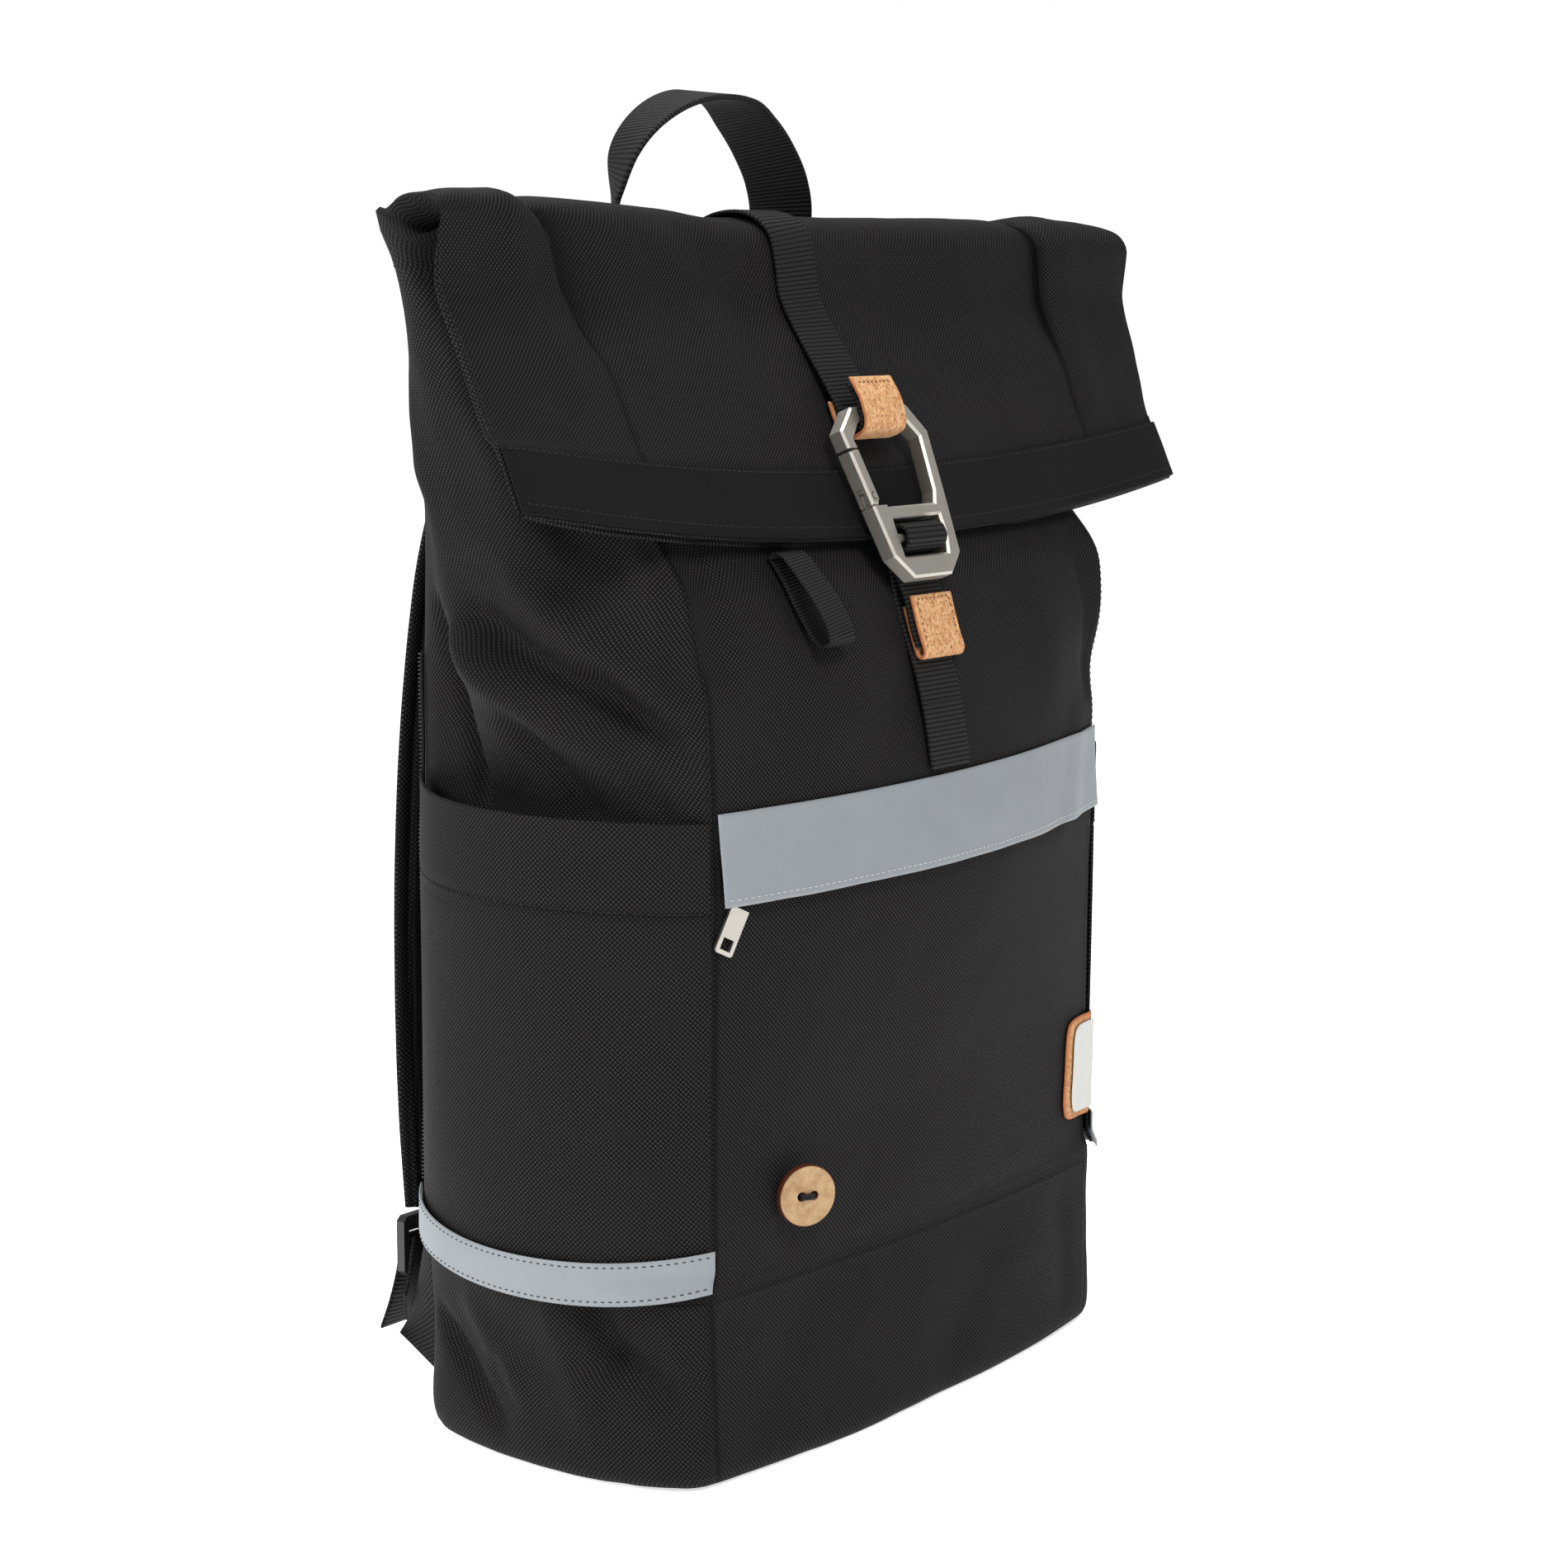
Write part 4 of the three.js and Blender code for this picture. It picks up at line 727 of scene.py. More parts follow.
def webbing(name, pitch, dark, light):
    """Black ribbed webbing: rounded ribs across the band, with fine yarns along them; the ribs' light tops
    are painted highlight and the dark between them painted shade.
    """
    g = Finish(name, Specular_IOR_Level=0.1)
    u, v = g.place()
    rib_and_painted_highlight = (v * (math.pi / pitch)).sin().abs()
    yarn = (u * (math.pi / 0.62) + (v * (1 / pitch)).floor() * (math.pi / 2)).sin().abs()
    fuzz = g.noise(g.vector(u, v), 1.6, 3.0)
    height = rib_and_painted_highlight * 0.75 + yarn * rib_and_painted_highlight * 0.3 + fuzz * 0.12
    # Painted highlight on the ribs' tops, painted shade between them.
    shade = g.mix(rib_and_painted_highlight.band(0.15, 1.0) * (0.45 + yarn * 0.55), dark, light)
    return g.feed(Base_Color=shade, Roughness=0.75 - rib_and_painted_highlight * 0.18, Normal=g.bump(height, 0.0004, 0.9))


def reflective(name, colour):
    """Grey retro-reflective film with faint scuffs."""
    g = Finish(name, Metallic=0.2, Specular_IOR_Level=0.4)
    u, v = g.place()
    haze = g.noise(g.vector(u, v), 0.045, 4.0)
    grain = g.noise(g.vector(u, v), 2.2, 2.0)
    crease = g.noise(g.vector(u * 0.05, v * 0.012), 1.0, 3.0)
    scuff = g.noise(g.vector(u * 0.5, v * 0.06), 1.0, 3.0).band(0.62, 0.74)
    shade = g.mix(haze * 0.5, colour, tuple(c * 0.8 for c in colour))
    shade = g.mix(scuff * 0.25, shade, (0.24, 0.25, 0.26))
    weave = (u * (math.pi / 0.5)).sin() * (v * (math.pi / 0.5)).sin()
    return g.feed(Base_Color=shade, Roughness=0.46 + haze * 0.14,
                  Normal=g.bump(grain * 0.4 + haze * 3.0 + weave * 0.12 + crease * 12, 0.00012, 0.7))


def cork(name, face):
    """Pressed cork: pale grains, short dark flecks and a tan cut edge."""
    g = Finish(name, Specular_IOR_Level=0.2)
    u, v = g.place()
    here = g.vector(u, v)
    grain, cell = g.cells(g.vector(u * 0.95, v * 0.75)), g.cells(g.vector(u * 0.42, v * 0.34))
    tone = g.noise(here, 0.5, 4.0)
    fleck = g.noise(g.vector(u * 1.5, v * 0.75), 1.0, 3.0).band(0.57, 0.66)
    pit = g.noise(g.vector(u * 0.9, v * 0.8), 1.3, 4.0).band(0.63, 0.7)
    shade = g.mix(grain.band(0.1, 0.7) * 0.8, face, (0.60, 0.36, 0.185))
    shade = g.mix(tone.band(0.4, 0.7) * 0.5, shade, (0.40, 0.175, 0.065))
    shade = g.mix(cell.band(0.35, 0.8) * 0.3, shade, (0.61, 0.39, 0.21))
    shade = g.mix(cell.band(0.6, 0.2) * tone.band(0.3, 0.6) * 0.45, shade, (0.33, 0.12, 0.04))
    shade = g.mix(fleck * 0.8, shade, (0.13, 0.043, 0.014))
    shade = g.mix(pit * 0.85, shade, (0.045, 0.015, 0.006))
    shade = g.mix(g.mark("edge").band(0.4, 0.9), shade, (0.42, 0.155, 0.058))
    return g.feed(Base_Color=shade, Roughness=0.7 + tone * 0.15,
                  Normal=g.bump(tone - fleck * 0.8 - pit, 0.0003, 0.8))


def nickel(name, colour):
    """Satin nickel plate with fine tumbling marks."""
    g = Finish(name, Metallic=1.0)
    here = g.solid_place(1000.0)
    fine = g.noise(here, 2.6, 3.0)
    cloud = g.noise(here, 0.16, 3.0)
    shade = g.mix(cloud, colour, tuple(c * 1.15 for c in colour))
    rough = 0.4 + fine * 0.12 + cloud * 0.06
    return g.feed(Base_Color=shade, Roughness=rough, Normal=g.bump(fine, 0.00004, 0.5))


def coconut(name):
    """Coconut shell, sanded, with dark pores and a scorched rim."""
    g = Finish(name, Specular_IOR_Level=0.35)
    here = g.solid_place(1000.0)
    mottle = g.noise(here, 0.22, 5.0, 0.65)
    speck = g.noise(here, 1.5, 3.0).band(0.64, 0.72)
    shade = g.mix(mottle.band(0.35, 0.7), (0.40, 0.265, 0.135), (0.285, 0.165, 0.075))
    shade = g.mix(speck * 0.6, shade, (0.15, 0.07, 0.03))
    shade = g.mix(g.mark("rim").band(0.25, 0.9), shade, (0.10, 0.022, 0.008))
    return g.feed(Base_Color=shade, Roughness=0.5 + mottle * 0.2, Normal=g.bump(mottle - speck, 0.00012, 0.5))


def plain(name, colour, rough, grain, depth):
    """A plain finish with fine grain and slight wear."""
    g = Finish(name)
    here = g.solid_place(1000.0)
    fine = g.noise(here, grain, 3.0)
    cloud = g.noise(here, 0.2, 3.0)
    shade = g.mix(cloud * 0.5, colour, tuple(min(1.0, c * 1.25 + 0.004) for c in colour))
    return g.feed(Base_Color=shade, Roughness=rough + (cloud - 0.5) * 0.12, Normal=g.bump(fine, depth, 0.6))


finishes = {}


def tinted(colour, share):
    """A darker tone of a colour."""
    return tuple(c * share for c in colour)


def make_finishes(sizes):
    """Makes every finish; the darker tone of a cloth or webbing is painted shade between its raised threads.
    """
    cloth, webs = tuple(sizes.cloth_colour), tuple(sizes.webbing_colour)
    pitch = sizes.weave_pitch / MM
    finishes.update(
        oxford=oxford("oxford cloth", pitch, tinted(cloth, 0.05), cloth),
        oxford_seamed=oxford("oxford cloth, sewn", pitch, tinted(cloth, 0.05), cloth, seams=True),
        tape=oxford("facing tape", 0.5, tinted(cloth, 0.06), tinted(cloth, 0.44)),
        webbing=webbing("webbing", 1.75, tinted(webs, 0.14), webs),
        helmet_tape=webbing("helmet loop tape", 1.25, tinted(webs, 0.14), webs),
        reflective=reflective("reflective film", tuple(sizes.reflective_colour)),
        cork=cork("cork", tuple(sizes.cork_colour)),
        nickel=nickel("satin nickel", tuple(sizes.metal_colour)),
        coconut=coconut("coconut shell"),
        paper=plain("bare label", (0.47, 0.475, 0.455), 0.75, 3.0, 0.00006),
        plastic=plain("moulded plastic", (0.008, 0.008, 0.0085), 0.36, 2.5, 0.00003),
        thread=plain("black thread", (0.004, 0.0037, 0.0037), 0.85, 4.0, 0.00008),
        pale_thread=plain("grey thread", (0.42, 0.42, 0.43), 0.7, 4.0, 0.00008),
        brown_thread=plain("brown thread", (0.17, 0.07, 0.026), 0.8, 4.0, 0.00008),
        zip_coil=plain("zip coil", (0.05, 0.05, 0.052), 0.4, 4.0, 0.00003),
    )


# Pieces of the bag.
PANELS = {
    "front": (-FRONT, FRONT),
    "right side": (FRONT, FRONT + SIDE),
    "back": (FRONT + SIDE, HALF + FRONT),
    "left side": (HALF + FRONT, HALF + FRONT + SIDE),
}
GRAIN = 2.6            # size of a facet of the cloth, in millimetres
GAUGE_ROW = 10.0       # row at which a panel's width is measured
LINING_FROM = 22.7     # row above which the inside of the mouth is made
RIM_BELLY = [0, -0.3, -0.6]    # how far the middle of the mouth's rim stands past its edges
FAR_FROM_SEAM = 30.0   # millimetres, where no seam shows
SEWN = 0.1             # height of a line of stitches over the cloth
SEAM_ASIDE = 0.16      # steps from a front seam to its stitches
SEAM_TOP = 330.0       # height up to which they go


def panel_mesh(name, k0, k1):
    """One panel of the bag, marked with its distance to the nearest seam and with the painted shade of its
    creases.
    """
    climbs = np.linspace(0, CLIMB[-1], int(CLIMB[-1] / GRAIN))
    probe = skin(GAUGE_ROW, np.linspace(k0, k1, 60))
    count = int(np.linalg.norm(np.diff(probe, axis=0), axis=-1).sum() / GRAIN)
    near, far = panel_edge(k0, climbs), panel_edge(k1, climbs)
    ks = near[:, None] + (far - near)[:, None] * np.linspace(0, 1, count)[None, :]
    points = skin(row_at_climb(climbs)[:, None], ks)
    across = arc_lengths(points, 1)
    uv = np.stack([across - across[:, -1:] / 2, np.broadcast_to(climbs[:, None], across.shape)], -1)
    seam = np.minimum(across, across[:, -1:] - across)
    seam = np.minimum(seam, np.abs(climbs - LOWER_SEAM)[:, None])
    return make_mesh(name, points.reshape(-1, 3), grid_faces(*points.shape[:2]), uv,
                     marks={"seam": seam, "painted_crease_shade": crease_shade(climbs[:, None], ks)})


def lining_mesh(name):
    """The inside of the mouth, its rim, and the underside of the bag."""
    rows = np.linspace(LINING_FROM, ROWS, 16)
    ks = np.linspace(0, ROUND, 301)
    outer, out = skin_frame(rows[:, None], ks[None, :])
    inner = outer - out * WALL
    rim = np.stack([outer[-1], (outer[-1] + inner[-1]) / 2 + RIM_BELLY, inner[-1]])
    foot = skin(np.zeros(len(ks)), ks)
    n = len(ks)
    points = np.concatenate([inner.reshape(-1, 3), rim.reshape(-1, 3), foot, [[0, 0, 0.0]]])
    first_rim = inner.shape[0] * n
    first_foot = first_rim + 3 * n
    hub = first_foot + n
    faces = grid_faces(inner.shape[0], n, 0, flip=True).tolist() + grid_faces(3, n, first_rim).tolist()
    faces += [[first_foot + j + 1, first_foot + j, hub] for j in range(n - 1)]
    return make_mesh(name, points, faces, points[:, :2], marks={"seam": np.full(len(points), FAR_FROM_SEAM)})


def on_bag(rows, ks, off, folded=True):
    """Points that stand off the bag by a distance, and the outward directions there."""
    rows, ks = np.broadcast_arrays(np.asarray(rows, float), np.asarray(ks, float))
    p, n = skin_frame(rows, ks) if folded else (bare(rows, ks), cross_normal(bare, rows, ks, 0.06, 0.06))
    return p + n * np.broadcast_to(off, p.shape[:-1])[..., None], n


def build_bag():
    parts = [panel_mesh(name, *span) for name, span in PANELS.items()] + [lining_mesh("lining")]
    bag = join("bag_cloth", parts)
    finish_piece(bag, "oxford_seamed", "oxford_black", "body_shell")
    seams = []
    rows = row_of(np.linspace(LOWER_SEAM + 2, SEAM_TOP, 120))
    for k in (FRONT + SEAM_ASIDE, ROUND - FRONT - SEAM_ASIDE):
        seams.append(stitches("front seam", *on_bag(rows, k, SEWN), 2.6, 0.6, 0.16))
    line, out = on_bag(row_of(LOWER_SEAM - 3), np.linspace(-FRONT, FRONT, 120), SEWN)
    seams.append(stitches("base seam", line, out, 2.8, 0.6, 0.18))
    finish_piece(join("bag_seam_stitches", seams), "thread", "thread_dark")


HEM_FROM, HEM_TO = 15.6, 44.4          # places round
HEM_FOOT, HEM_TOP = 22.98, 23.999      # rows
HEM_SEWN = (23.05, 23.86)              # rows of its stitches
BORDER_FROM, BORDER_TO = 512.0, 590.0  # climbs of the stitches on the flap's left border
BORDER_SEWN = (43.9, 44.5)             # places round of these
CORNER_FROM, CORNER_TO = 40.4, 46.8    # places round of the stitches on the left corner
CORNER_SEWN = 433.5                    # height of these


def build_hem(sizes):
    rows, ks = rim_steps(HEM_FOOT, HEM_TOP, 14, 0.02), rim_steps(HEM_FROM, HEM_TO, 170, 0.03)
    mid, n = on_bag(rows[:, None], ks[None, :], FIT + CLOTH / 2)
    finish_piece(slab("hem_facing", mid, n, CLOTH), "tape", "tape_black", "hem_band")
    along = np.linspace(HEM_FROM + 0.2, HEM_TO - 0.2, 220)
    up = row_at_climb(np.linspace(BORDER_FROM, BORDER_TO, 40))
    sewn = [on_bag(row, along, FIT + CLOTH) for row in HEM_SEWN] + [on_bag(up, k, SEWN) for k in BORDER_SEWN]
    sewn.append(on_bag(row_of(CORNER_SEWN), np.linspace(CORNER_FROM, CORNER_TO, 60), SEWN))
    lines = [stitches("sewn", line, out, sizes.stitch_length / MM, 0.66, 0.2) for line, out in sewn]
    finish_piece(join("hem_stitches", lines), "thread", "thread_dark")


POCKET_HEM = 0.8               # share of the height where a pocket's hem begins
POCKET_TALL = 170.0            # about its height, for the distance to the hem's seam
POCKET_K0, POCKET_K1 = 0.25, 0.95      # steps that it keeps from the front and the back seam


def mouth_z(t):
    """Height of a pocket's mouth."""
    return MOUTH_FRONT + MOUTH_BOW * np.sin(np.pi * t) + MOUTH_RISE * t ** 4


def pocket_face(side, t, up, lift=0.0):
    """A point of a side pocket: t from the front seam back, up from its foot to its mouth."""
    k0 = FRONT + POCKET_K0 + t * (SIDE - POCKET_K1 - POCKET_K0)
    k = k0 if side > 0 else ROUND - k0
    z = POCKET_FOOT + (mouth_z(t) - POCKET_FOOT) * up
    belly = np.sin(np.pi * np.clip(t, 0, 1)) ** 1.2
    gape = POCKET_GAPE * belly * (0.18 * np.minimum(1, up * 5) + 0.82 * up ** 2.2)
    wave = belly * (0.5 * ripples(k * STEP_MM, z, 70, 11 + side) + 1.1 * np.exp(-((up - 0.36) / 0.2) ** 2)
                    * np.exp(-((t - 0.3) / 0.25) ** 2))
    return on_bag(row_of(z), k, FIT + 0.5 + gape + CLOTH / 2 + wave + lift, folded=False)


def build_pockets(sizes):
    for word, side in {"right": 1, "left": -1}.items():
        t, up = rim_steps(0, 1, 76, 0.004), rim_steps(0, 1, 80, 0.004)
        mid, n = pocket_face(side, t[None, :], up[:, None])
        over = up - POCKET_HEM
        hem = np.where(np.abs(over) < 0.006, -0.25, np.where(over > 0, 0.18, 0.0))
        mid = mid + n * hem[:, None, None]
        seam = np.broadcast_to(np.abs(over)[:, None] * POCKET_TALL, mid.shape[:2])
        finish_piece(slab(f"pocket_{word}", mid, n, CLOTH, marks={"seam": seam}), "oxford_seamed",
                     "oxford_black", f"side_pocket_{word}")
        sewn = pocket_face(side, np.linspace(0.02, 0.98, 120), POCKET_HEM + 0.008, CLOTH / 2 + 0.2)
        row = stitches(f"pocket_hem_stitches_{word}", *sewn, sizes.stitch_length / MM, 0.62, 0.18)
        finish_piece(row, "thread", "thread_dark")


SIDE_STRIP_FOOT, SIDE_STRIP_HEIGHT = 2.5, 15.5     # its foot over the lower seam, and its height
SIDE_STRIP_SAG, SIDE_STRIP_BELLY = 5.0, 1.2
SIDE_STRIP_OFF = FIT + 0.6 + CLOTH + FIT + 0.75    # over the pocket's foot


def side_strip_face(side, t, up, lift=0.0):
    """A point of a side strip: t from the front seam back, up from its lower edge."""
    k0 = FRONT + 0.12 + t * (SIDE - 0.3)
    k = k0 if side > 0 else ROUND - k0
    arch = np.sin(np.pi * t)
    z = LOWER_SEAM + SIDE_STRIP_FOOT + SIDE_STRIP_SAG * (t ** 3 - arch) + SIDE_STRIP_HEIGHT * up
    return on_bag(row_of(z), k, SIDE_STRIP_OFF + SIDE_STRIP_BELLY * arch + lift, folded=False)


def build_side_strips():
    for word, side in {"right": 1, "left": -1}.items():
        t, up = rim_steps(0, 1, 90, 0.004), rim_steps(0, 1, 10, 0.03)
        mid, n = side_strip_face(side, t[None, :], up[:, None])
        finish_piece(slab(f"reflective_strip_{word}", mid, n, 0.9), "reflective",
                     "reflective_grey", f"side_strip_{word}")
        along = np.linspace(0.01, 0.99, 140)
        rows = [stitches("row", *side_strip_face(side, along, u, 0.45), 2.9, 0.62, 0.2) for u in (0.11, 0.89)]
        finish_piece(join(f"strip_stitches_{word}", rows), "thread", "thread_dark")


def front_strip_face(k, up, lift=0.0):
    """A point of the zip flap: k round the bag, up from its loose foot."""
    z = STRIP_TOP + STRIP_TILT * k / FRONT - STRIP_HEIGHT * (1 - up)
    held = 1 - 0.8 * np.maximum(0, k / FRONT) ** 3
    off = FIT + (STRIP_LIFT - FIT) * (1 - up) ** 1.4 * held
    worn_end = smooth(k, 1.0, 6.5)
    off = off + (0.4 + 1.0 * worn_end) * (1 - 0.75 * up) * (1 + ripples(k * STEP_MM, z * 0.25, 34, 8)) * 0.5
    return on_bag(row_of(z), k, off + 0.5 + lift)


def build_front_strip():
    ks, up = rim_steps(-7.94, 7.94, 130, 0.03), rim_steps(0, 1, 18, 0.014)
    mid, n = front_strip_face(ks[None, :], up[:, None])
    finish_piece(slab("reflective_zip_flap", mid, n, 1.0), "reflective", "reflective_grey", "front_strip")
    sewn = front_strip_face(np.linspace(-7.85, 7.85, 160), 0.075, 0.5)
    row = stitches("zip_flap_stitches", *sewn, 2.9, 0.62, 0.22)
    finish_piece(row, "pale_thread", "thread_dark")


# The hook's own plane: across, up along it, and out of it.
LEAN = math.radians(22.6)
HOOK_FOOT = np.array([STRAP_X, -76.0, 323.5])
HOOK_UP = np.array([0, math.sin(LEAN), math.cos(LEAN)])
HOOK_OUT = np.array([0, -math.cos(LEAN), math.sin(LEAN)])
HOOK_HEIGHT, HOOK_BAR, HOOK_THICK = 68.0, 6.2, 7.0
WEB, WEB_THICK = 25.0, 1.5
STRAP_OFF = FIT + WEB_THICK / 2
HEAD_MID = HOOK_HEIGHT - HOOK_BAR / 2
LOOP_DOWN = HOOK_BAR / 2 + FIT + WEB_THICK / 2 + 1
LOOP_OUT = HOOK_THICK / 2 + FIT + WEB_THICK / 2 + 0.3
CORK_THICK, CORK_WIDTH = 1.5, 26.0
CLOSING_X, TAB_X = STRAP_X - 3, STRAP_X + 2        # middles of the closing strap and of the lower cork tab
ROW_HALF = 10.5                                    # half of a row of stitches across the webbing
X_AXIS = np.array([1.0, 0, 0])


def on_hook(s, out):
    """A place on the hook's middle plane, s up along it and out of it, as y and z."""
    p = HOOK_FOOT + HOOK_UP * s + HOOK_OUT * out
    return [p[1], p[2]]


def under_bar(grow, steps=8):
    """The way round the under side of the hook's top bar."""
    line = []
    for i in range(steps + 1):
        t = math.pi * (1 + i / steps)
        c = math.cos(t)
        line.append(on_hook(HEAD_MID + (LOOP_DOWN + grow) * math.sin(t),
                            (LOOP_OUT + grow) * math.copysign(abs(c) ** 0.6, c)))
    return line


def flap_line(row, off):
    """A place over the middle of the fold and the flap, as y and z."""
    return list(on_bag(row, HALF, off)[0][1:])


def front_line(z, off):
    """A place over the middle of the front, as y and z."""
    return list(on_bag(row_of(z), 0.0, off)[0][1:])


def row_across(x, y, z):
    """A straight line across the webbing."""
    return np.column_stack([np.linspace(-ROW_HALF, ROW_HALF, 40) + x, np.full(40, y), np.full(40, z)])


def band(name, path, width, thick, x, step=1.0, wrap=False):
    """Webbing that keeps its width along X; path gives y and z, x may change along it."""
    xs = np.broadcast_to(np.asarray(x, float), (len(path),))
    line = np.column_stack([xs, np.asarray(path, float)])
    if wrap:
        line = np.concatenate([line, line[:1]])
    line = spline(line, step)
    if wrap:
        line = line[:-1]
    return ribbon(name, line, np.broadcast_to(X_AXIS, line.shape), width, thick, wrap=wrap)


def build_hook():
    for node in ("carabiner_frame", "carabiner_gate"):
        finish_solid(node, "nickel", 0.28, sharp=25)


def build_straps(sizes):
    over = [flap_line(row, STRAP_OFF + 0.3) for row in (16.4, 17, 17.5, 18, 18.5)]
    over += [flap_line(row, STRAP_OFF) for row in (19, 19.5, 20)]
    over += [flap_line(20.5, STRAP_OFF + 0.6), on_hook(HEAD_MID + 8, -LOOP_OUT)]
    under = under_bar(0) + [on_hook(HEAD_MID + 6, LOOP_OUT - 0.2), on_hook(HEAD_MID + 12.6, LOOP_OUT - 1.8)]
    slant = 8 * np.linspace(1, 0, len(over))
    x = np.concatenate([CLOSING_X - slant, np.full(len(under), CLOSING_X)])
    web = sizes.strap_width / MM
    closing_strap = band("closing_strap", over + under, web, WEB_THICK, x)
    finish_piece(closing_strap, "webbing", "webbing_black", "flap_strap")

    cork_out = WEB_THICK / 2 + FIT + CORK_THICK / 2 + 0.15
    upper = [on_hook(HEAD_MID + 9, -LOOP_OUT - cork_out)] + under_bar(cork_out)
    upper += [on_hook(HEAD_MID + 6, LOOP_OUT + cork_out), on_hook(HEAD_MID + 14, LOOP_OUT + cork_out - 1.6)]
    upper_tab = band("cork_tab_upper", upper, CORK_WIDTH, CORK_THICK, CLOSING_X, 0.8)
    finish_piece(upper_tab, "cork", "cork", "upper_cork_tab")
    line = row_across(CLOSING_X, *on_hook(HEAD_MID + 11.4, LOOP_OUT + cork_out + CORK_THICK / 2 - 0.95))
    rows = [stitches("cork row", line, np.broadcast_to(HOOK_OUT, line.shape), 2.6, 0.62, 0.3)]

    gap = WEB_THICK / 2 + FIT + CORK_THICK / 2
    tail = STRAP_OFF + 2 * gap
    behind = HOOK_THICK / 2 + FIT + WEB_THICK / 2 + 0.1
    hump = HOOK_THICK / 2 + 1.6
    path = [front_line(z, STRAP_OFF) for z in (STRIP_TOP + 2, 270, 286, 303, 318)]
    path += [on_hook(6, -behind - WEB_THICK - FIT - 0.4), on_hook(14, -behind - WEB_THICK - FIT),
             on_hook(18.6, -behind), on_hook(20.7, -1.5), on_hook(20.8, 2.5), on_hook(18.6, hump + 0.4),
             on_hook(14, hump + 0.4), on_hook(11.6, 2.4), on_hook(11.2, -1.5), on_hook(9.4, -behind),
             on_hook(1, -behind), front_line(314, tail + 0.5), front_line(306, tail), front_line(297.4, tail)]
    front_strap = band("front_strap", path, web, WEB_THICK, STRAP_X, 0.8)
    finish_piece(front_strap, "webbing", "webbing_black", "front_webbing")

    lower = [front_line(313, tail - gap), front_line(303, tail - gap), front_line(295.4, tail - gap),
             front_line(293.7, tail - 0.7), front_line(293.7, tail + 0.7), front_line(295.4, tail + gap),
             front_line(303, tail + gap), front_line(315.5, tail + gap + 0.4)]
    lower_tab = band("cork_tab_lower", lower, CORK_WIDTH, CORK_THICK, TAB_X, 0.8)
    finish_piece(lower_tab, "cork", "cork", "lower_cork_tab")
    corners = [(-10.3, 299), (-10.3, 314), (10.3, 314), (10.3, 299)]
    sewn = []
    for (xa, za), (xb, zb) in zip(corners[:-1], corners[1:]):
        for t in np.linspace(0, 1, 14, endpoint=False):
            height = za + (zb - za) * t
            off = tail + gap + CORK_THICK / 2 + (0.35 if height > 310 else 0)
            sewn.append([TAB_X + xa + (xb - xa) * t, *front_line(height, off)])
    sewn = np.array(sewn)
    out = on_bag(row_of(305), 0.0, 0)[1]
    rows.append(stitches("cork border", sewn, np.broadcast_to(out, sewn.shape), 2.6, 0.62, 0.28))
    finish_piece(join("cork_stitches", rows), "brown_thread", "thread_dark")

    across = []
    for row, k, x in ((row_of(277.0), 0.0, STRAP_X), (20.3, HALF, CLOSING_X)):
        p, out = on_bag(row, k, STRAP_OFF + WEB_THICK / 2 + 0.15)
        line = row_across(x, *p[1:])
        across.append(stitches("across", line, np.broadcast_to(out, line.shape), 2.3, 0.62, 0.35))
    finish_piece(join("webbing_stitches", across), "thread", "thread_dark")


LOOP_TOP, LOOP_DRIFT, LOOP_DROP = (-74.0, 334.0), 6.0, 32.0
# Once round the loop: share of its drop, and height over the cloth.
LOOP_LINE = [(0, 1.8), (0.25, 1.8), (0.5, 1.8), (0.75, 2.6), (0.92, 3.6), (1, 6), (0.97, 10.2), (0.8, 11.4),
             (0.55, 10.6), (0.3, 8.8), (0.06, 6.8), (-0.02, 4)]


def build_helmet_loop():
    down, off = np.array(LOOP_LINE).T
    xs = LOOP_TOP[0] + LOOP_DRIFT * down
    path = on_bag(row_of(LOOP_TOP[1] - LOOP_DROP * down), front_k(xs), off)[0][:, 1:]
    finish_piece(band("helmet_tape_loop", path, 15, 1.1, xs, 0.8, wrap=True), "helmet_tape",
                 "tape_black", "helmet_loop")


BACK_ZIP = ROUND - FRONT - SIDE + 0.5      # place round of the back zip
BACK_ZIP_FOOT, BACK_ZIP_TOP = 97.0, 298.0


def build_zips():
    for node in ("zip_pull", "zip_slider"):
        finish_solid(node, "nickel", 0.2)
    rows = row_of(np.linspace(BACK_ZIP_FOOT, BACK_ZIP_TOP, 90))
    mid, n = on_bag(rows[:, None], BACK_ZIP + np.linspace(-0.22, 0.22, 5)[None, :], FIT + 0.6)
    finish_piece(slab("back_zip_tape", mid, n, 1.2), "tape", "tape_black", "back_zipper")
    coil = stitches("back_zip_coil", *on_bag(rows, BACK_ZIP, FIT + 1.2), 1.5, 0.55, 0.55, 0.1)
    finish_piece(coil, "zip_coil", "plastic_black")


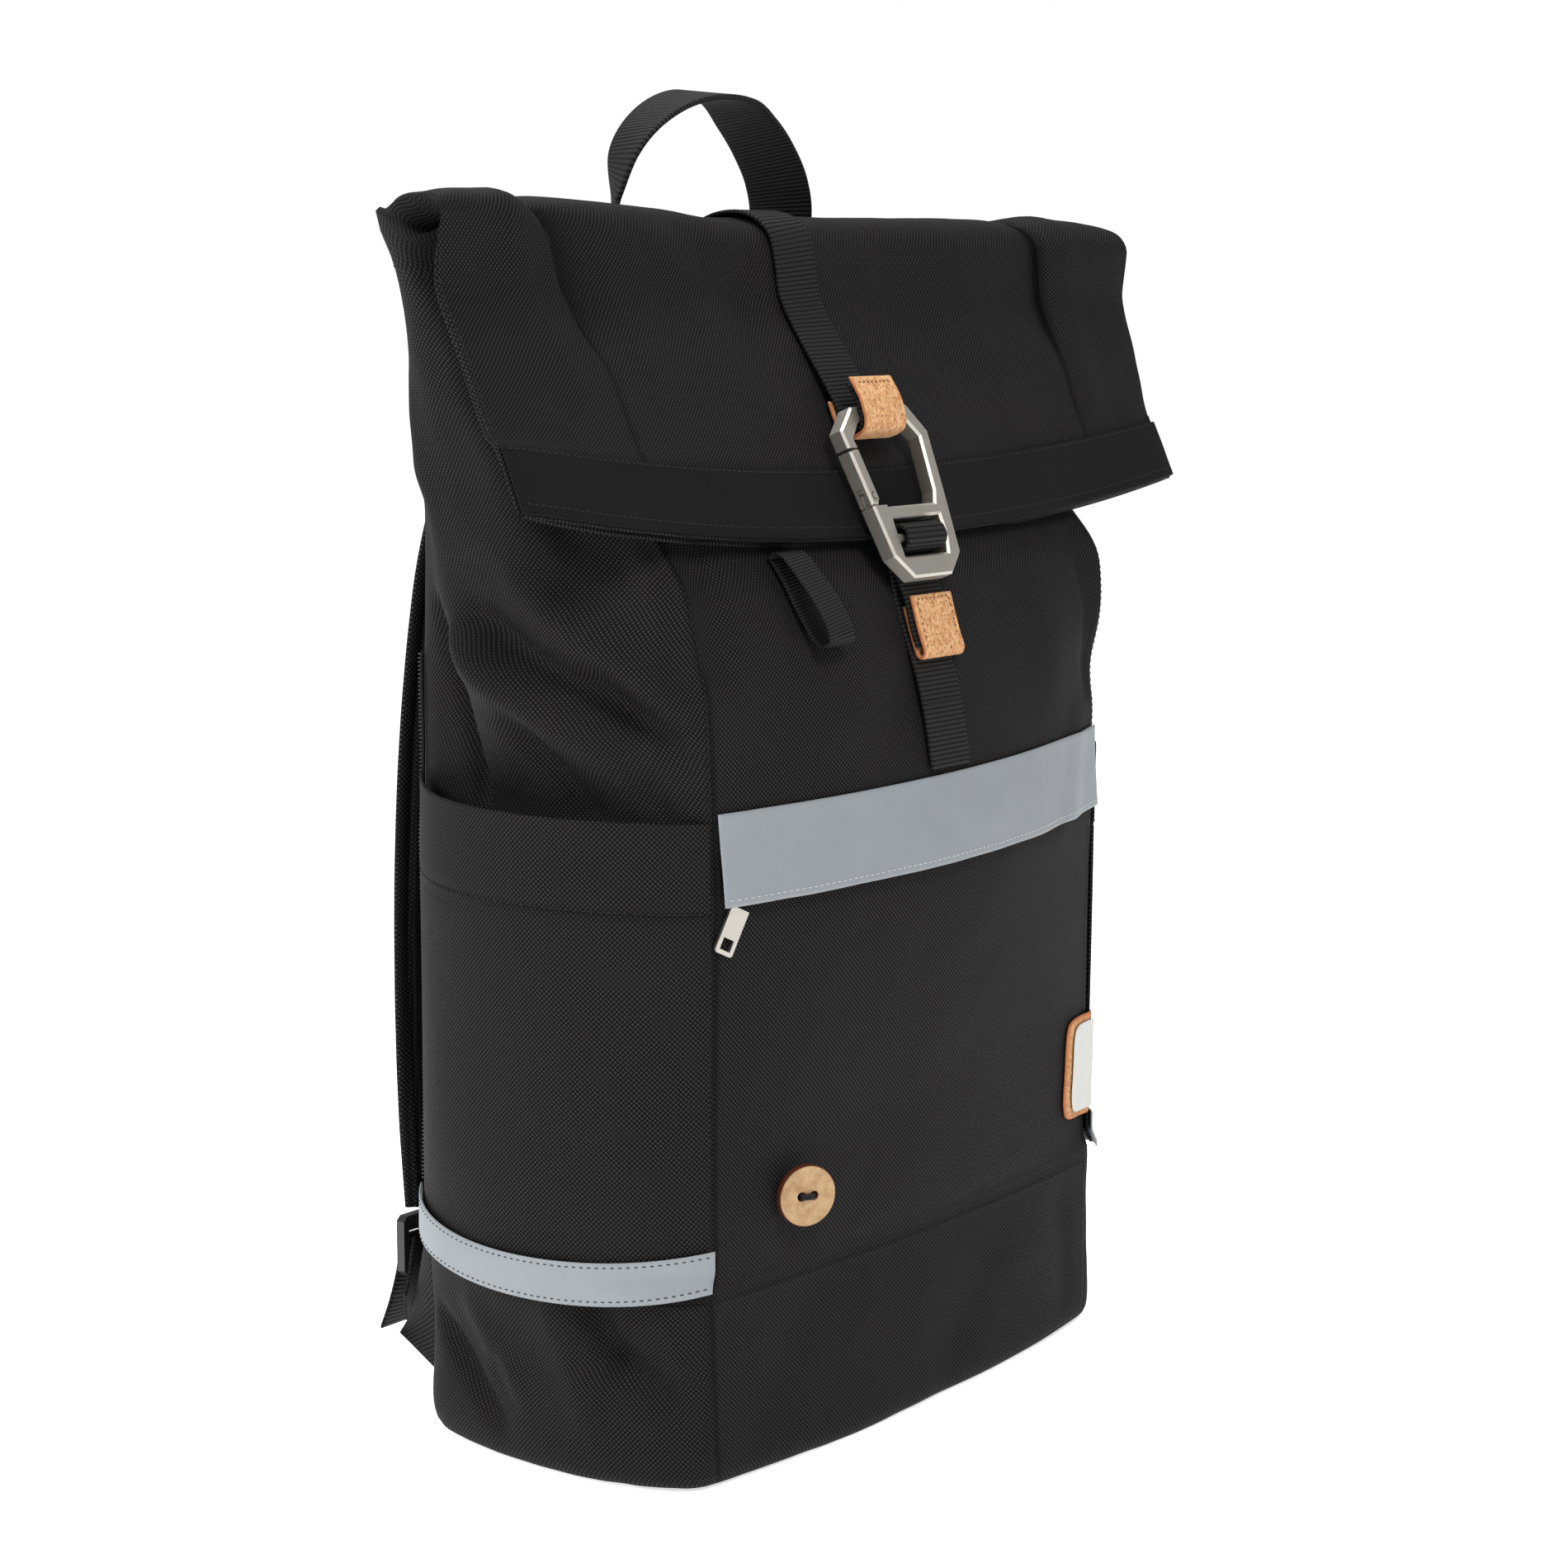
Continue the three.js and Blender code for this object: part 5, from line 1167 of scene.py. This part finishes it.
def disc_with_holes(name, radius, holes, depth, bevel):
    """A flat disc with round holes and rounded edges, from a filled curve."""
    curve = bpy.data.curves.new(name, "CURVE")
    curve.dimensions, curve.fill_mode = "2D", "BOTH"
    curve.extrude, curve.bevel_depth, curve.bevel_resolution = (depth / 2 - bevel) * MM, bevel * MM, 3
    for cx, cy, r, count in [(0, 0, radius - bevel, 72)] + [(x, y, q + bevel, 24) for x, y, q in holes]:
        line = curve.splines.new("POLY")
        line.points.add(count - 1)
        line.use_cyclic_u = True
        for i in range(count):
            a = 2 * math.pi * i / count
            line.points[i].co = ((cx + r * math.cos(a)) * MM, (cy + r * math.sin(a)) * MM, 0, 1)
    holder = bpy.data.objects.new(name, curve)
    bpy.context.scene.collection.objects.link(holder)
    bpy.context.view_layer.update()
    mesh = bpy.data.meshes.new_from_object(holder.evaluated_get(bpy.context.evaluated_depsgraph_get()))
    bpy.data.objects.remove(holder)
    obj = bpy.data.objects.new(name, mesh)
    bpy.context.scene.collection.objects.link(obj)
    return obj


def frame_on_front(x, z):
    """Origin, right, up and outward directions of the cloth of the front at x and z."""
    p, n = skin_frame(row_of(z), front_k(x))
    right = np.array([-n[1], n[0], 0])
    right /= np.linalg.norm(right)
    return p, right, np.cross(n, right), n


def set_place(obj, origin, right, up, out):
    """Moves a mesh from the middle of the world to its place, in millimetres."""
    m = Matrix.Identity(4)
    for row in range(3):
        m[row][0], m[row][1], m[row][2], m[row][3] = right[row], up[row], out[row], origin[row] * MM
    obj.data.transform(m)


BUTTON_X, BUTTON_Z, HOLE_GAP = -84.5, 103.5, 2.6
BUTTON_YAW = math.radians(-22)


def build_button(sizes):
    p, right, up, n = frame_on_front(BUTTON_X, BUTTON_Z)
    radius = sizes.button_size / MM / 2
    lift = FIT + 0.5 + radius * abs(math.sin(BUTTON_YAW))
    c, q = math.cos(BUTTON_YAW), math.sin(BUTTON_YAW)
    across, out = right * c - n * q, n * c + right * q
    foot = p + n * lift
    disc = disc_with_holes("coconut_button", radius, [(-HOLE_GAP, 0, 1.5), (HOLE_GAP, 0, 1.5)], 3.2, 0.5)
    flat = np.array([v.co[:] for v in disc.data.vertices])
    far = np.hypot(flat[:, 0], flat[:, 1]) / MM
    rim = np.clip((far - (radius - 0.55)) / 0.5, 0, 1)
    for side in (-1, 1):
        near = np.hypot(flat[:, 0] / MM - side * HOLE_GAP, flat[:, 1] / MM)
        rim = np.maximum(rim, np.clip((1.95 - near) / 0.3, 0, 1))
    disc.data.attributes.new("rim", "FLOAT", "POINT").data.foreach_set("value", rim.astype(np.float32))
    set_place(disc, foot + out * 2.1, across, up, out)
    finish_piece(disc, "coconut", "coconut_shell", "button")
    low = [(x * q - lift + 0.6) / c for x in (-HOLE_GAP, HOLE_GAP)]
    line = spline([foot + across * x + out * d for x, d in
                   ((-HOLE_GAP, low[0]), (-HOLE_GAP, 2.0), (-HOLE_GAP, 3.4), (-HOLE_GAP * 0.8, 4.4), (0, 4.7),
                    (HOLE_GAP * 0.8, 4.4), (HOLE_GAP, 3.4), (HOLE_GAP, 2.0), (HOLE_GAP, low[1]))], 0.4)
    strands = [ribbon(f"strand {o}", line + up * o, np.broadcast_to(up, line.shape), 0.62, 0.55, columns=3)
               for o in (-0.62, 0.0, 0.62)]
    finish_piece(join("button_sewing", strands), "thread", "thread_dark", "button_thread")


LABEL_MID, LABEL_HALF = 112.0, 21.5    # height of its middle, and half its height


def label_face(inset, off, count):
    """The label's grid over the front seam, with rounded corners, and its distance to the rim."""
    k0, k1 = FRONT - 1.4 + inset * 0.11, FRONT + 1.0 - inset * 0.16
    a, b = rim_steps(-1, 1, count, 0.02)[None, :], rim_steps(-1, 1, 22, 0.02)[:, None]
    ks = (k0 + k1) / 2 + (k1 - k0) / 2 * a * (1 - 0.12 * np.abs(b) ** 7)
    z = LABEL_MID + (LABEL_HALF - inset) * b * (1 - 0.09 * np.abs(a) ** 7)
    over = 0.9 * smooth(ks, FRONT - 0.5, FRONT + 0.15)
    return *on_bag(row_of(z), ks, off + over), np.minimum((1 - np.abs(a)) * 15, (1 - np.abs(b)) * 21)


def build_label():
    mid, n, rim = label_face(0, FIT + 0.6, 24)
    patch = slab("label_cork", mid, n, 1.2, marks={"edge": 1 - 0.55 * smooth(rim, 0.3, 1.6)})
    finish_piece(patch, "cork", "cork", "label_patch")
    mid, n, _ = label_face(2.8, 2 * FIT + 1.2 + 0.5, 18)
    finish_piece(slab("label_bare_inset", mid, n, 0.5), "paper", "label_white", "label_inset")


# The handle's middle line: x, y, z, the way it faces round z, and the rise of its far edge, in degrees.
HANDLE = np.array([
    [-57, 49.6, 422, 8, 0], [-57, 40.2, 440, 22, 0], [-56.5, 35, 455, 34, 0], [-59, 31, 467, 48, 0],
    [-58, 28, 480, 64, 0], [-50, 26, 491, 76, 0], [-35, 25, 500, 86, 3], [-16, 25, 504.5, 94, 6],
    [2, 25, 502.5, 104, 4], [15.5, 26, 494.5, 112, 0], [27, 27, 485, 118, 0], [38, 29, 473, 122, 0],
    [46, 33, 459, 130, 0], [48.5, 39.8, 441, 150, 0], [48, 49.6, 422, 170, 0]])


def facing_ribbon(name, table, width, thick, step=1.0):
    """Webbing through points whose wide direction is given as an angle round Z and a rise above level."""
    full = spline(table, step)
    a = np.radians(full[:, 3])
    b = np.radians(full[:, 4])
    wide = np.stack([np.cos(a) * np.cos(b), np.sin(a) * np.cos(b), np.sin(b)], -1)
    return ribbon(name, full[:, :3], wide, width, thick)


def build_handle(sizes):
    handle = facing_ribbon("carrying_handle", HANDLE, sizes.strap_width / MM, 2.2)
    finish_piece(handle, "webbing", "webbing_black", "handle")


# A padded strap's middle line on the right: x, y, z, width, thickness.
STRAP = np.array([
    [50, 60.6, 399, 54, 5], [50.6, 67.4, 392, 55, 8], [54, 85, 377, 57, 11], [59, 95.5, 358, 58, 11],
    [65, 101, 330, 58, 11], [72, 102.4, 290, 58, 11], [78, 102.4, 243, 58, 11], [82, 102.4, 195, 56, 11],
    [86, 102, 150, 50, 11], [90, 101, 110, 42, 11], [93, 100.4, 72, 32, 8]])
LOCK_Y, LOCK_FOOT = 100.8, 46.0
ANCHOR = (118.0, 93.0, 36.0)
# The webbing from the anchor tab through the ladder lock to its free end: x, y, z, and the way it faces.
TAIL = np.array([
    [*ANCHOR, 24], [107, 93.6, 46, 8], [98, LOCK_Y - 5.2, LOCK_FOOT + 8, 0],
    [96, LOCK_Y - 3.6, LOCK_FOOT + 13, 0], [96, LOCK_Y - 0.6, LOCK_FOOT + 15.3, 0],
    [96, LOCK_Y + 2.8, LOCK_FOOT + 14.8, 0], [96, LOCK_Y + 3.9, LOCK_FOOT + 10, 0],
    [97, LOCK_Y + 5.4, LOCK_FOOT, 2], [100, LOCK_Y + 8.2, LOCK_FOOT - 12, 8],
    [103, LOCK_Y + 12.4, LOCK_FOOT - 24, 14]])


BINDING = 5.0      # width of the binding along a strap's edges


def strap_ring(table, side, count=64):
    """The closed grid of a padded strap, its places on the cloth and its distance to the binding's seam."""
    line = spline(table, 4.0)
    centre = line[:, :3] * [side, 1, 1]
    along = np.gradient(centre, axis=0)
    along /= np.linalg.norm(along, axis=-1, keepdims=True)
    wide = X_AXIS - along * along[:, :1]
    wide /= np.linalg.norm(wide, axis=-1, keepdims=True)
    n = np.cross(wide, along)
    t = 2 * np.pi * np.arange(count + 1) / count
    c, s = np.cos(t), np.sin(t)
    u = np.sign(c) * np.abs(c) ** 0.5
    v = np.sign(s) * np.abs(s) ** 0.8
    far = arc_lengths(centre[:, None], 0)[:, 0]
    binding = 1 - 0.42 * smooth(np.abs(u), 0.80, 0.86) * (1 - smooth(np.abs(u), 0.985, 1.0) * 0.3)
    pucker = 1 + 0.03 * ripples(far[:, None], u[None, :] * 20, 26, 21)
    w, h = line[:, 3:4] / 2, line[:, 4:5] / 2
    points = (centre[:, None] + wide[:, None] * (w * u)[..., None]
              + n[:, None] * (h * v * binding * pucker)[..., None])
    uv = np.stack([w * u, np.broadcast_to(far[:, None], (len(far), count + 1))], -1)
    return points, uv, np.abs(np.abs(w * u) - (w - BINDING))


def build_shoulder_straps(sizes):
    for word, side in {"left": -1, "right": 1}.items():
        points, uv, seam = strap_ring(STRAP, side)
        rows, cols = points.shape[:2]
        faces = grid_faces(rows, cols, 0, flip=side < 0).tolist()
        ring = np.arange(cols - 1)[::side]
        faces += [ring.tolist(), (ring[::-1] + (rows - 1) * cols).tolist()]
        pad = make_mesh(f"strap_pad_{word}", points.reshape(-1, 3), faces, uv, marks={"seam": seam})
        finish_piece(pad, "oxford_seamed", "oxford_black", f"shoulder_strap_{word}")
        finish_solid(f"ladder_lock_{word}", "plastic", 0.5, segments=3)
        table = np.column_stack([TAIL * [side, 1, 1, -side], np.zeros(len(TAIL))])
        tail = facing_ribbon(f"strap_tail_{word}", table, sizes.strap_width / MM, WEB_THICK, 0.8)
        finish_piece(tail, "webbing", "webbing_black", f"strap_webbing_{word}")


TAB_FOOT, TAB_HEIGHT = 18.0, 66.0      # of an anchor tab in the back seam


def build_anchor_tabs():
    for word, side in {"left": -1, "right": 1}.items():
        down, out = rim_steps(0, 1, 26, 0.02), rim_steps(0, 1, 22, 0.02)
        k = FRONT + SIDE if side > 0 else ROUND - FRONT - SIDE
        base = on_bag(row_of(TAB_FOOT + TAB_HEIGHT * down), k, 0)[0] + [0, 0.1, 0]
        tip_x = (ANCHOR[0] + 9 - 12 * down) * side
        tip = np.stack([tip_x, ANCHOR[1] - 5.9 + 3.6 * down, ANCHOR[2] - 6.6 + 4.8 * down], -1)
        mid = base[:, None] * (1 - out[None, :, None]) + tip[:, None] * out[None, :, None]
        n = np.stack([np.full(len(out), side * 0.93), np.full(len(out), 0.36), 0.3 * out], -1)
        n /= np.linalg.norm(n, axis=-1, keepdims=True)
        n = np.broadcast_to(n[None], mid.shape)
        if side > 0:
            mid = mid[::-1]
        tab = slab(f"anchor_wing_{word}", mid, n, 2.0)
        finish_piece(tab, "oxford", "oxford_black", f"anchor_tab_{word}")


# Camera, light and floor.
CAMERA_AT, CAMERA_TO, LENS = (-1.0207, -0.7785, 0.4304), (0.0049, 0.0, 0.2373), 75.6


# Soft lights: size across and up, watts, place.
LIGHTS = {
    "key": ((0.7, 0.7), 34, (-0.7, -1.4, 1.9)),
    "side": ((0.35, 1.0), 25, (-1.7, 0.7, 1.1)),
    "top": ((0.9, 0.6), 20, (0.1, 0.3, 1.7)),
}
LIT = (0, 0, 0.25)     # where they point
WHITE = (1, 1, 1)
FLOOR_HALF, FLOOR_Z = 9000.0, -0.6


def look(obj, at, to, axis):
    """Places an object and points one of its axes at a point."""
    obj.location = at
    obj.rotation_mode = "QUATERNION"
    obj.rotation_quaternion = (Vector(to) - Vector(at)).to_track_quat(axis, "Y")
    bpy.context.scene.collection.objects.link(obj)


def light(name, size, power, at):
    """A soft rectangular light."""
    data = bpy.data.lights.new(name, "AREA")
    data.shape, data.size, data.size_y, data.energy = "RECTANGLE", *size, power
    look(bpy.data.objects.new(name, data), at, LIT, "-Z")


def build_stage():
    camera = bpy.data.objects.new("camera", bpy.data.cameras.new("camera"))
    camera.data.lens, camera.data.sensor_width = LENS, 36
    camera.data.clip_start, camera.data.clip_end = 0.05, 50
    look(camera, CAMERA_AT, CAMERA_TO, "-Z")
    bpy.context.scene.camera = camera

    paper = Finish("white paper floor", Roughness=0.9, Specular_IOR_Level=0.1, Emission_Color=WHITE,
                   Emission_Strength=0.64)
    cloud = paper.noise(paper.solid_place(1.0), 3.0) * 0.2
    tone = paper.mix(cloud, (0.93, 0.93, 0.93), (0.91, 0.91, 0.912))
    corners = [(x * FLOOR_HALF, y * FLOOR_HALF, FLOOR_Z) for x, y in ((-1, -1), (1, -1), (1, 1), (-1, 1))]
    floor = make_mesh("floor", corners, [[0, 1, 2, 3]], soft=False)
    floor.data.materials.append(paper.feed(Base_Color=tone))

    studio = Graph(bpy.data.worlds.new("studio"))
    sky = studio.node("ShaderNodeBackground", {}, {"Color": WHITE, "Strength": 0.42}).out(0)
    backdrop = studio.node("ShaderNodeBackground", {}, {"Color": WHITE, "Strength": 1.0}).out(0)
    seen = studio.node("ShaderNodeLightPath").out("Is Camera Ray")
    both = studio.node("ShaderNodeMixShader", {}, {0: seen, 1: sky, 2: backdrop}).out(0)
    studio.node("ShaderNodeOutputWorld", {}, {"Surface": both})
    bpy.context.scene.world = studio.owner
    bpy.context.scene.view_settings.view_transform = "Standard"
    for name, (size, power, at) in LIGHTS.items():
        light(name, size, power, at)


# Add-on classes.
class BackpackSettings(bpy.types.PropertyGroup):
    """Sizes and colours that a user would change."""

    fold_strength: FloatProperty(name="Fold strength", description="Share of the modelled folds that shows",
                                 default=1.0, min=0.0, max=1.5, subtype="FACTOR")
    weave_pitch: FloatProperty(name="Weave pitch", description="From one thread of the cloth to the next",
                               default=0.92 * MM, min=0.3 * MM, max=3 * MM, precision=5, unit="LENGTH")
    stitch_length: FloatProperty(name="Stitch length", description="From one stitch to the next on hems",
                                 default=3.0 * MM, min=1.5 * MM, max=6 * MM, precision=4, unit="LENGTH")
    strap_width: FloatProperty(name="Strap width", description="Width of the webbing straps and the handle",
                               default=WEB * MM, min=15 * MM, max=25 * MM, precision=4, unit="LENGTH")
    button_size: FloatProperty(name="Button size", description="Diameter of the coconut button",
                               default=23.0 * MM, min=15 * MM, max=23 * MM, precision=4, unit="LENGTH")
    # The cloth's colour is that of its raised threads, which carry painted highlight.
    cloth_colour: FloatVectorProperty(name="Cloth colour", description="Colour of the cloth's raised threads",
                                      default=(0.0290, 0.0268, 0.0276), min=0, max=1, subtype="COLOR")
    # The webbing's colour is that of its ribs' tops, which carry painted highlight.
    webbing_colour: FloatVectorProperty(name="Webbing colour", description="Colour of the webbing's ribs",
                                        default=(0.0190, 0.0180, 0.0184), min=0, max=1, subtype="COLOR")
    reflective_colour: FloatVectorProperty(name="Film colour", description="Colour of the reflective film",
                                           default=(0.225, 0.243, 0.258), min=0, max=1, subtype="COLOR")
    cork_colour: FloatVectorProperty(name="Cork colour", description="Ground colour of the cork",
                                     default=(0.43, 0.205, 0.085), min=0, max=1, subtype="COLOR")
    metal_colour: FloatVectorProperty(name="Metal colour", description="Colour of the satin nickel",
                                      default=(0.44, 0.42, 0.375), min=0, max=1, subtype="COLOR")


def settings():
    return bpy.context.scene.backpack


class BACKPACK_OT_finishes(bpy.types.Operator):
    """Make the cloth, webbing, cork, metal and thread finishes"""

    bl_idname = "backpack.finishes"
    bl_label = "Finishes"

    def execute(self, context):
        make_finishes(context.scene.backpack)
        return {"FINISHED"}


class BACKPACK_OT_bag(bpy.types.Operator):
    """Build the cloth of the bag with its folds and seams"""

    bl_idname = "backpack.bag"
    bl_label = "Bag cloth"

    def execute(self, context):
        build_bag()
        return {"FINISHED"}


class BACKPACK_OT_hem(bpy.types.Operator):
    """Build the facing band of the flap and its stitches"""

    bl_idname = "backpack.hem"
    bl_label = "Hem facing"

    def execute(self, context):
        build_hem(context.scene.backpack)
        return {"FINISHED"}


class BACKPACK_OT_pockets(bpy.types.Operator):
    """Build both side pockets"""

    bl_idname = "backpack.pockets"
    bl_label = "Side pockets"

    def execute(self, context):
        build_pockets(context.scene.backpack)
        return {"FINISHED"}


class BACKPACK_OT_side_strips(bpy.types.Operator):
    """Build the reflective strips at the feet of the pockets"""

    bl_idname = "backpack.side_strips"
    bl_label = "Side strips"

    def execute(self, context):
        build_side_strips()
        return {"FINISHED"}


class BACKPACK_OT_front_strip(bpy.types.Operator):
    """Build the reflective flap over the front zip"""

    bl_idname = "backpack.front_strip"
    bl_label = "Zip flap"

    def execute(self, context):
        build_front_strip()
        return {"FINISHED"}


class BACKPACK_OT_hook(bpy.types.Operator):
    """Finish the snap hook and its gate"""

    bl_idname = "backpack.hook"
    bl_label = "Snap hook"

    def execute(self, context):
        build_hook()
        return {"FINISHED"}


class BACKPACK_OT_straps(bpy.types.Operator):
    """Build the closing strap, the front strap and their cork tabs"""

    bl_idname = "backpack.straps"
    bl_label = "Closing straps"

    def execute(self, context):
        build_straps(context.scene.backpack)
        return {"FINISHED"}


class BACKPACK_OT_helmet_loop(bpy.types.Operator):
    """Build the tape loop under the hem"""

    bl_idname = "backpack.helmet_loop"
    bl_label = "Helmet loop"

    def execute(self, context):
        build_helmet_loop()
        return {"FINISHED"}


class BACKPACK_OT_zips(bpy.types.Operator):
    """Build the back zip and finish the front pull"""

    bl_idname = "backpack.zips"
    bl_label = "Zips"

    def execute(self, context):
        build_zips()
        return {"FINISHED"}


class BACKPACK_OT_button(bpy.types.Operator):
    """Build the coconut button and its thread"""

    bl_idname = "backpack.button"
    bl_label = "Button"

    def execute(self, context):
        build_button(context.scene.backpack)
        return {"FINISHED"}


class BACKPACK_OT_label(bpy.types.Operator):
    """Build the cork label and its bare inset"""

    bl_idname = "backpack.label"
    bl_label = "Label"

    def execute(self, context):
        build_label()
        return {"FINISHED"}


class BACKPACK_OT_handle(bpy.types.Operator):
    """Build the carrying handle"""

    bl_idname = "backpack.handle"
    bl_label = "Handle"

    def execute(self, context):
        build_handle(context.scene.backpack)
        return {"FINISHED"}


class BACKPACK_OT_shoulder_straps(bpy.types.Operator):
    """Build the padded straps, their locks and webbing"""

    bl_idname = "backpack.shoulder_straps"
    bl_label = "Shoulder straps"

    def execute(self, context):
        build_shoulder_straps(context.scene.backpack)
        return {"FINISHED"}


class BACKPACK_OT_anchor_tabs(bpy.types.Operator):
    """Build the triangular tabs in the back seams"""

    bl_idname = "backpack.anchor_tabs"
    bl_label = "Anchor tabs"

    def execute(self, context):
        build_anchor_tabs()
        return {"FINISHED"}


class BACKPACK_OT_stage(bpy.types.Operator):
    """Build the floor, the lights and the camera"""

    bl_idname = "backpack.stage"
    bl_label = "Stage"

    def execute(self, context):
        build_stage()
        return {"FINISHED"}


OPERATORS = (
    BACKPACK_OT_finishes,
    BACKPACK_OT_bag,
    BACKPACK_OT_hem,
    BACKPACK_OT_pockets,
    BACKPACK_OT_side_strips,
    BACKPACK_OT_front_strip,
    BACKPACK_OT_hook,
    BACKPACK_OT_straps,
    BACKPACK_OT_helmet_loop,
    BACKPACK_OT_zips,
    BACKPACK_OT_button,
    BACKPACK_OT_label,
    BACKPACK_OT_handle,
    BACKPACK_OT_shoulder_straps,
    BACKPACK_OT_anchor_tabs,
    BACKPACK_OT_stage,
)


class BACKPACK_PT_pieces(bpy.types.Panel):
    """Lists the pieces of the backpack"""

    bl_label = "Backpack"
    bl_idname = "BACKPACK_PT_pieces"
    bl_space_type = "VIEW_3D"
    bl_region_type = "UI"
    bl_category = "Backpack"

    def draw(self, context):
        column = self.layout.column()
        for name in BackpackSettings.__annotations__:
            column.prop(context.scene.backpack, name)
        for operator in OPERATORS:
            column.operator(operator.bl_idname)


CLASSES = (BackpackSettings, *OPERATORS, BACKPACK_PT_pieces)


def register():
    for cls in CLASSES:
        bpy.utils.register_class(cls)
    bpy.types.Scene.backpack = PointerProperty(type=BackpackSettings)


def unregister():
    del bpy.types.Scene.backpack
    for cls in reversed(CLASSES):
        bpy.utils.unregister_class(cls)


def main():
    register()
    for operator in OPERATORS:
        getattr(bpy.ops.backpack, operator.bl_idname.split(".")[1])()


if __name__ == "__main__":
    main()
